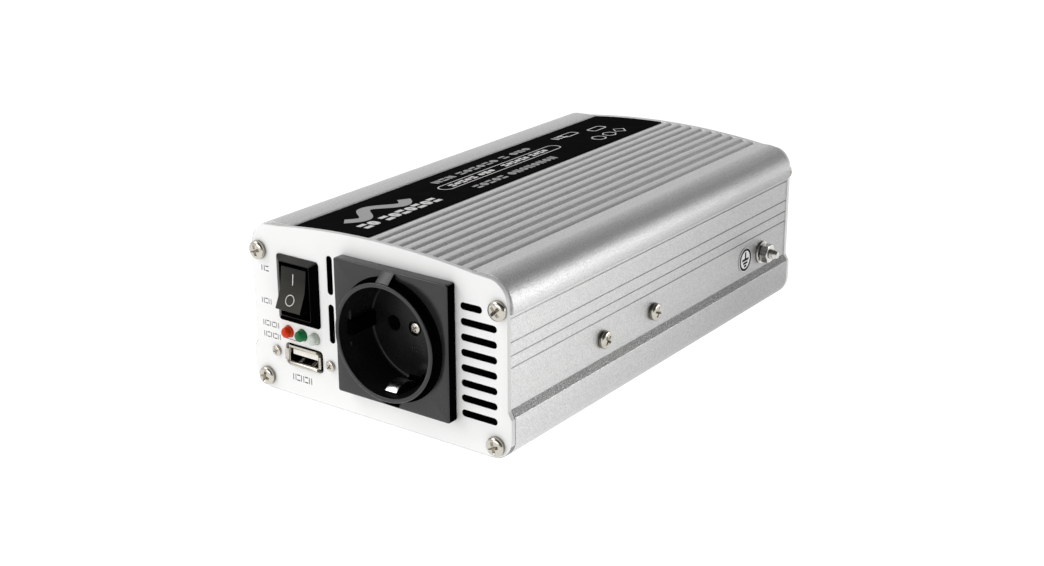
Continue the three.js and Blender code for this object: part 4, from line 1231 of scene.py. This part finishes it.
def band(points, width):
    """Closed outline of a line of constant width through points."""
    left = []
    right = []
    for i, point in enumerate(points):
        before = Vector(points[max(i - 1, 0)])
        after = Vector(points[min(i + 1, len(points) - 1)])
        along = (after - before).normalized()
        side = Vector((-along.y, along.x)) * width / 2
        left.append(tuple(Vector(point) + side))
        right.append(tuple(Vector(point) - side))
    return left + right[::-1]


def glyph(number, start, low, width, height, weight):
    """Outlines of one plain mark: a frame, two uprights or two dashes, never a letter."""
    stroke = width * weight
    end = start + width
    top = low + height
    if number % 3 == 0:
        centre = ((start + end) / 2, (low + top) / 2)
        loop = rounded(centre, width - stroke, height - stroke, stroke * 0.8, 3)
        return [band(loop + loop[:1], stroke)]
    if number % 3 == 1:
        return [bar(start, start + stroke, low, top), bar(end - stroke, end, low, top)]
    thick = height * weight * 0.85
    return [bar(start, end, low, low + thick), bar(start, end, top - thick, top)]


def legend(start, low, length, height, words, weight):
    """Row of plain marks of a given length; words tells how many marks each group has, and weight
    how bold they are."""
    pitch = length / (sum(words) + 0.6 * (len(words) - 1))
    outlines = []
    number = len(words)
    for count in words:
        for i in range(count):
            outlines += glyph(number, start, low, pitch * (0.7 + 0.3 * weight), height, weight)
            start += pitch
            number += 1 + i % 2
        start += pitch * 0.6
    return outlines


def flat_marks(name, outlines, low, high):
    """Thin flat shapes between two planes, joined into one piece."""
    return join_pieces(name, [plate("mark", [loop], low, high, 0.0) for loop in outlines])


def label_rows(near, rows):
    """Rows of plain marks that run along the label from its near end."""
    outlines = []
    for start, length, height, words, weight, base_x in rows:
        for loop in legend(near + start, 0, length, height, words, weight):
            outlines.append([(base_x - across, along) for along, across in loop])
    return outlines


def label_frames(near):
    """Outlines drawn as lines: a long pill, two tags and three signs."""
    frames = [(rounded((-20.3, near + 100), 6.4, 77, 3.1, 6), 0.5)]
    for x, start in ((-27.6, 158), (-22.8, 172)):
        frames.append((rounded((x, near + start), 4.6, 9, 1.4, 3), 0.6))
    for start, corners in ((158, 8), (166, 6), (174, 4)):
        frames.append((circle((-12.4, near + start), 3.1, corners), 0.55))
    return [band(loop + loop[:1], width) for loop, width in frames]


def label_wave(near):
    steps = 48
    line = []
    for i in range(steps + 1):
        part = i / steps
        line.append((-24.2 + 4.4 * math.sin(3 * math.pi * part), near + 11 + 33 * part))
    return band(line, 5.0)


def make_label():
    low, high = low_high("label_plate")
    film = strip_on_roof("label_strip", bar(LABEL_X0, LABEL_X1, low.y, high.y), 0, 0.4, 0.5)
    settle(film, FILM, "label_plate")
    white = label_frames(low.y) + label_rows(low.y, WHITE_ROWS)
    grey = [label_wave(low.y)] + label_rows(low.y, GREY_ROWS)
    for name, outlines, ink in (("white", white, WHITE_INK), ("grey", grey, SILVER_INK)):
        prints = [strip_on_roof("mark", loop, 0.03, 0.06) for loop in outlines]
        settle(join_pieces(f"label_print_{name}", prints), ink, "label_plate")


def make_earth_label():
    place = middle("earth_symbol_label")
    top = low_high("earth_symbol_label")[1].x
    centre = (place.y, place.z)
    disc = plate("earth_disc", [circle(centre, 5, 64)], WALL_X + 0.02, top - 0.05, 0.05, axis="X")
    settle(disc, WHITE_FILM, "earth_symbol_label")
    rim = [circle(centre, 4.75, 64), circle(centre, 3.75, 64)]
    marks = [plate("mark", rim, top - 0.1, top, 0.0, axis="X")]
    for half, low, high in EARTH_BARS:
        outline = bar(place.y - half, place.y + half, place.z + low, place.z + high)
        marks.append(plate("mark", [outline], top - 0.1, top, 0.0, axis="X"))
    settle(join_pieces("earth_symbol", marks), BLACK_INK, "earth_symbol_label")


def make_panel_prints():
    """Plain marks where a panel has its legends, and the bracket under the lamps."""
    outlines = []
    for x, z, length, height, count in (
        (-51.2, 47.1, 4.0, 2.1, 2),
        (-51.4, 34.5, 5.1, 2.1, 3),
        (-49.8, 25.8, 8.1, 2.1, 5),
        (-49.5, 21.4, 8.5, 2.1, 5),
        (-35.4, 7.4, 9.7, 2.5, 5),
    ):
        outlines += legend(x - length / 2, z - height / 2, length, height, (count,), 0.22)
    outlines.append(bar(-44.3, -35.6, 21.75, 22.0))
    outlines.append(bar(-35.85, -35.6, 22.0, 22.9))
    marks = flat_marks("panel_prints", outlines, FRONT_Y - 0.02, FRONT_Y + 0.05)
    settle(marks, GREY_INK, "front_panel")


# ---------- earth terminal


def thread(radius, start, end, pitch, depth):
    """Ridged profile of a threaded stretch, from start to end along the axis."""
    profile = []
    count = int((end - start) / pitch)
    for i in range(count):
        t = start + i * pitch
        profile += [(radius - depth, t), (radius, t + pitch * 0.45), (radius, t + pitch * 0.6)]
    return profile + [(radius - depth, start + count * pitch)]


def washer_profile(bore, radius, low, high):
    return [
        (bore, low),
        (radius - 0.15, low),
        (radius, low + 0.15),
        (radius, high - 0.15),
        (radius - 0.15, high),
        (bore, high),
    ]


def make_earth_terminal():
    low, high = low_high("earth_stud")
    centre = middle("earth_stud")
    base = (0, centre.y, centre.z)
    head = [(0, low.x), (4, low.x), (4, low.x + 2.5), (1.9, low.x + 2.5)]
    tail = thread(2.0, low.x + 3, high.x - 0.6, 0.7, 0.16) + [(1.3, high.x), (0, high.x)]
    stud = lathe("earth_bolt", head + tail, base, axis="X", steps=40, smooth=25)
    settle(stud, ZINC, "earth_stud")
    low, high = low_high("earth_washer")
    section = washer_profile(2.3, 4.75, low.x, high.x)
    washer = lathe("earth_ring", section, base, axis="X", steps=64, closed=True)
    settle(washer, ZINC, "earth_washer")
    low, high = low_high("earth_nut")
    settle(hex_nut("earth_hex", base, low.x, high.x, 7.0, 2.05), ZINC, "earth_nut")


def hex_nut(name, centre, start, end, across, bore):
    """Hexagon nut along X with chamfered corners."""
    corner = across / 2 / math.cos(math.pi / 6)
    middle_point = (centre[1], centre[2])
    loops = [circle(middle_point, corner, 6), circle(middle_point, bore, 32)]
    nut = plate(name, loops, start, end, 0.0, axis="X")
    slope = (corner - across / 2) * 0.6
    outside = [(corner + 3, start - 1), (across / 2 - 0.1, start - 0.01)]
    outside.append((corner + 0.1, start + slope))
    outside += [(corner + 0.1, end - slope), (across / 2 - 0.1, end + 0.01), (corner + 3, end + 1)]
    cutter = lathe("chamfer", outside, (0, centre[1], centre[2]), axis="X", steps=64, closed=True)
    return carve(nut, [cutter], 25)


# ---------- fan


FAN_SIDE = 50
DUCT_R = 23.6
BLADES = 7
HUB_R = 10.5
BLADE_ROOT_R = 9.8
BLADE_TIP_R = 22.2


def make_fan_frame():
    """Square housing with its duct, and the motor's seat on four struts at the inner side."""
    x = FAN.x
    z = FAN.z
    low, high = low_high("fan_frame")
    loops = [rounded((x, z), FAN_SIDE, FAN_SIDE, 3.5, 6), circle((x, z), DUCT_R, 96)]
    housing = plate("fan_housing", loops, low.y, high.y, 0.5)
    settle(housing, BLACK_PLASTIC, "fan_frame")
    seat = [(0, low.y), (10.4, low.y), (10.6, low.y + 0.3), (10.6, low.y + 2), (0, low.y + 2)]
    parts = [lathe("motor", seat, (x, 0, z))]
    for degrees in (30, 120, 210, 300):
        strut = block("strut", (9.8, low.y + 0.1, -1.4), (DUCT_R + 0.3, low.y + 1.9, 1.4), 0.3)
        strut.matrix_world = placed((x, 0, z), degrees)
        parts.append(strut)
    mount = join_pieces("fan_motor_mount", parts)
    soften(mount)
    settle(mount, BLACK_PLASTIC, "fan_frame")


def make_fan_rotor():
    """Hub with a rounded face and a plain sticker, and seven twisted blades."""
    centre = (FAN.x, 0, FAN.z)
    low, high = low_high("fan_rotor")
    foot = low_high("fan_frame")[0].y + 2.7
    profile = [(0, high.y), (8.6, high.y)] + arc((HUB_R - 1.6, high.y - 1.6), 1.6, 90, 0, 6)
    hub = lathe("fan_hub", profile + [(HUB_R, foot), (0, foot)], centre)
    settle(hub, BLACK_PLASTIC, "fan_rotor", body="fan_rotor")
    blades = []
    for i in range(BLADES):
        blade = loft("blade", [blade_section(step / 8) for step in range(9)], 40)
        blade.matrix_world = placed((FAN.x, (low.y + high.y) / 2, FAN.z), 360 / BLADES * i)
        blades.append(blade)
    vanes = join_pieces("fan_blades", blades)
    soften(vanes, 40)
    settle(vanes, BLACK_PLASTIC, "fan_rotor", body="fan_rotor")
    label = [(0, high.y - 0.02), (7.4, high.y - 0.02), (7.4, high.y + 0.05), (0, high.y + 0.05)]
    sticker = lathe("fan_hub_label", label, centre)
    settle(sticker, WHITE_FILM, "fan_rotor", body="fan_rotor")


def blade_section(part):
    """Section of a twisted blade, a thin bowed leaf; part is 0 at the root and 1 at the tip."""
    radius = BLADE_ROOT_R + (BLADE_TIP_R - BLADE_ROOT_R) * part
    pitch = math.radians(52 - 24 * part)
    steps = 10
    points = []
    for side in (1, -1):
        for i in range(steps + 1):
            u = side * (2 * i / steps - 1)
            bow = 0.9 * (1 - u * u)
            offset = bow + 0.42 * side * math.sqrt(max(0.0, 1 - u * u)) ** 0.6
            across = u * (4.4 + 2.6 * part)
            axial = across * math.sin(pitch) * 0.86 + offset * math.cos(pitch)
            around = (-across * math.cos(pitch) + offset * math.sin(pitch)) / radius
            points.append((radius * math.cos(around), axial, radius * math.sin(around)))
    return points


# ---------- direct-current terminals


POST_R = 3.0
BORE_R = 3.3
KNOB_R = 8.15
FLUTES = 18


def make_terminals():
    x, y, z = TERMINALS
    low, high = low_high("terminal_block")
    outline = rounded((x, z), high.x - low.x, high.z - low.z, 3.2, 6)
    base = plate("terminal_base", [outline], y + 0.05, y + 4, 0.5, steps=4)
    settle(base, BLACK_PLASTIC, "terminal_block")
    grips = (("positive", KNOB_RED, "knob_red"), ("negative", KNOB_BLACK, "knob_black"))
    for name, grip, paint in grips:
        post = middle(f"terminal_post_{name}")
        base_point = (post.x, 0, post.z)
        collar = [(BORE_R, 3.5), (8.2, 3.5), (8.5, 4.2), (8.5, 5.6), (8.1, 6), (BORE_R, 6)]
        ring = lathe(f"terminal_collar_{name}", collar, (post.x, y, post.z), closed=True)
        settle(ring, BLACK_PLASTIC, "terminal_block")
        low, high = low_high(f"terminal_post_{name}")
        profile = [(0, low.y), (POST_R, low.y), (POST_R, low.y + 7), (6, low.y + 7), (6, y - 2.4)]
        profile += [(2.6, y - 2.4), *thread(POST_R, y - 2, high.y - 1.0, 1.0, 0.4)]
        profile += [(2.2, high.y), (0, high.y)]
        stud = lathe(f"terminal_stud_{name}", profile, base_point, steps=40, smooth=25)
        settle(stud, BRASS, f"terminal_post_{name}")
        low, high = low_high(f"terminal_washer_{name}")
        section = washer_profile(BORE_R, 7, low.y, high.y)
        washer = lathe(f"terminal_ring_{name}", section, base_point, closed=True)
        settle(washer, BRASS, f"terminal_washer_{name}", body=f"washer_{name}")
        make_knob(name, base_point, grip)


def make_knob(name, centre, material):
    """Fluted grip on a plain foot, with a brass cap."""
    body = f"knob_{name}"
    node = f"terminal_knob_{name}"
    low, high = low_high(node)
    steps = FLUTES * 8
    loop = []
    for i in range(steps):
        angle = 2 * math.pi * i / steps
        groove = max(0.0, math.cos(angle * FLUTES)) ** 4
        radius = KNOB_R - 0.6 * groove
        loop.append((centre[0] + radius * math.cos(angle), centre[2] + radius * math.sin(angle)))
    grip = plate(f"knob_grip_{name}", [loop], low.y + 2.6, high.y - 0.1, 0.6, steps=4, smooth=35)
    settle(grip, material, node, body=body)
    skirt = [(BORE_R, low.y), (6.9, low.y), (7.2, low.y + 0.3)]
    skirt += [(7.2, low.y + 2.2), (7.0, low.y + 3.2)]
    foot = lathe(f"knob_foot_{name}", [*skirt, (BORE_R, low.y + 3.2)], centre, closed=True)
    settle(foot, material, node, body=body)
    cap = [(0, high.y - 0.3), (4.6, high.y - 0.3), (4.6, high.y - 0.1), (4.2, high.y), (0, high.y)]
    settle(lathe(f"knob_cap_{name}", cap, centre), BRASS, node, body=body)


# ---------- inner pieces keep their CAD shape


def dress(node, material, edge=0.0):
    """Gives a CAD node its material and, where asked, softly rounded edges."""
    piece = frame["nodes"][node]
    piece.data.materials.clear()
    piece.data.materials.append(material)
    if edge:
        round_edges(piece, edge, 40)


def dress_inner_pieces():
    board = laminate()
    tape = wound_tape()
    core = coarse("ferrite", (0.035, 0.035, 0.037), 0.62, 0.6, 0.02)
    sleeve = coarse("capacitor_sleeve", (0.012, 0.02, 0.07), 0.3, 1.5, 0.01)
    bar_metal = coarse("sawn_bar", (0.55, 0.55, 0.56), 0.4, 0.5, 0.03, 1.0)
    epoxy = coarse("epoxy", (0.02, 0.02, 0.02), 0.45, 0.3, 0.01)
    dress("main_board", board)
    dress("usb_board", board)
    dress("transformer_core", core, 0.5)
    dress("transformer_winding", tape, 0.8)
    for node in ("input_capacitor_left", "input_capacitor_right", "bus_capacitor"):
        dress(node, sleeve, 0.6)
    for side in ("left", "right"):
        dress(f"clamp_bar_{side}", bar_metal, 0.2)
        dress(f"transistor_{side}_front", epoxy, 0.15)
        dress(f"transistor_{side}_rear", epoxy, 0.15)
        dress(f"socket_contact_{side}", BRASS)
    for level in ("upper", "lower"):
        dress(f"switch_blade_{level}", BRASS)
    dress("socket_rear_housing", BLACK_PLASTIC, 0.3)


# ---------- floor, light and camera, in metres


FLOOR_HALF = 6.0
FLOOR_DROP = 0.0004


def make_stage():
    bm = bmesh.new()
    bmesh.ops.create_grid(bm, x_segments=1, y_segments=1, size=FLOOR_HALF)
    mesh = bpy.data.meshes.new("floor")
    bm.to_mesh(mesh)
    bm.free()
    floor = bpy.data.objects.new("floor", mesh)
    scene.collection.objects.link(floor)
    floor.location.z = -FLOOR_DROP
    surface = Surface("floor_paper", (0.35, 0.35, 0.35), 0.9, specular=0.0)
    tone = surface.noise(900, 1.0)
    surface.stain(tone, (0.33, 0.33, 0.33), 0.3, 0.7, 0.3)
    surface.shader.inputs["Emission Color"].default_value = (1, 1, 1, 1)
    surface.shader.inputs["Emission Strength"].default_value = 0.95
    mesh.materials.append(surface.material)


def area_light(name, place, target, size, power):
    light = bpy.data.lights.new(name, "AREA")
    light.shape = "RECTANGLE"
    light.size = size[0]
    light.size_y = size[1]
    light.energy = power
    lamp = bpy.data.objects.new(name, light)
    lamp.location = place
    lamp.rotation_euler = (Vector(target) - Vector(place)).to_track_quat("-Z", "Y").to_euler()
    scene.collection.objects.link(lamp)


def make_light():
    """Studio: white towards the left and low down, dark above the right and the back,
    and three soft boxes."""
    world = bpy.data.worlds.new("studio")
    scene.world = world
    world.use_nodes = True
    nodes = world.node_tree.nodes
    links = world.node_tree.links
    place = nodes.new("ShaderNodeTexCoord")
    across = nodes.new("ShaderNodeVectorMath")
    across.operation = "DOT_PRODUCT"
    across.inputs[1].default_value = (0.6, 0.0, 1.0)
    links.new(place.outputs["Generated"], across.inputs[0])
    ramp = nodes.new("ShaderNodeValToRGB")
    levels = ((0, 0.86), (0.19, 0.72), (0.36, 0.60), (0.53, 0.48))
    levels += ((0.66, 0.30), (0.75, 0.13), (1, 0.07))
    stops = ramp.color_ramp.elements
    while len(stops) < len(levels):
        stops.new(0.5)
    for stop, (position, level) in zip(stops, levels):
        stop.position = position
        stop.color = (level, level, level, 1)
    links.new(across.outputs["Value"], ramp.inputs["Fac"])
    links.new(ramp.outputs["Color"], nodes["Background"].inputs["Color"])
    nodes["Background"].inputs["Strength"].default_value = 1.0
    target = (0, 0, 0.03)
    area_light("key_light", (-0.75, -0.65, 0.95), target, (0.7, 0.7), 5)
    area_light("rear_box", (1.27, 1.27, 0.27), target, (1.4, 0.5), 5.9)
    area_light("front_box", (-0.2, -1.6, 0.5), target, (1.2, 0.6), 4.8)


def make_camera():
    """Standing off the front right corner, a little above the roof, looking down at the case."""
    camera = bpy.data.cameras.new("camera")
    camera.sensor_width = 36
    camera.lens = 56.14
    camera.clip_start = 0.01
    rig = bpy.data.objects.new("camera", camera)
    azimuth = math.radians(35.79)
    elevation = math.radians(19.907)
    roll = math.radians(-0.183)
    flat = math.cos(elevation)
    back = Vector((math.sin(azimuth) * flat, -math.cos(azimuth) * flat, math.sin(elevation)))
    level = Vector((0, 0, 1)).cross(back).normalized()
    rise = back.cross(level)
    right = level * math.cos(roll) + rise * math.sin(roll)
    up = back.cross(right)
    turn = Matrix((right, up, back)).transposed().to_4x4()
    place = Vector((0.3492, FRONT_Y * MM - 0.3967, 0.2424))
    rig.matrix_world = Matrix.Translation(place) @ turn
    scene.collection.objects.link(rig)
    scene.camera = rig


scene.view_settings.view_transform = "Standard"
make_camera()
make_stage()
make_light()
make_extrusions()
make_front_panel()
make_rear_panel()
make_screws()
make_socket_plate()
make_socket_cup()
make_socket_ribs()
make_socket_floor_marks()
make_earth_clip()
make_switch()
make_rocker()
make_usb_shell()
make_usb_insides()
make_lamp("led_red", RED_LENS)
make_lamp("led_green", GREEN_LENS)
make_lamp("led_clear", CLEAR_LENS, flat=True)
make_label()
make_earth_label()
make_panel_prints()
make_earth_terminal()
make_fan_frame()
make_fan_rotor()
make_terminals()
dress_inner_pieces()
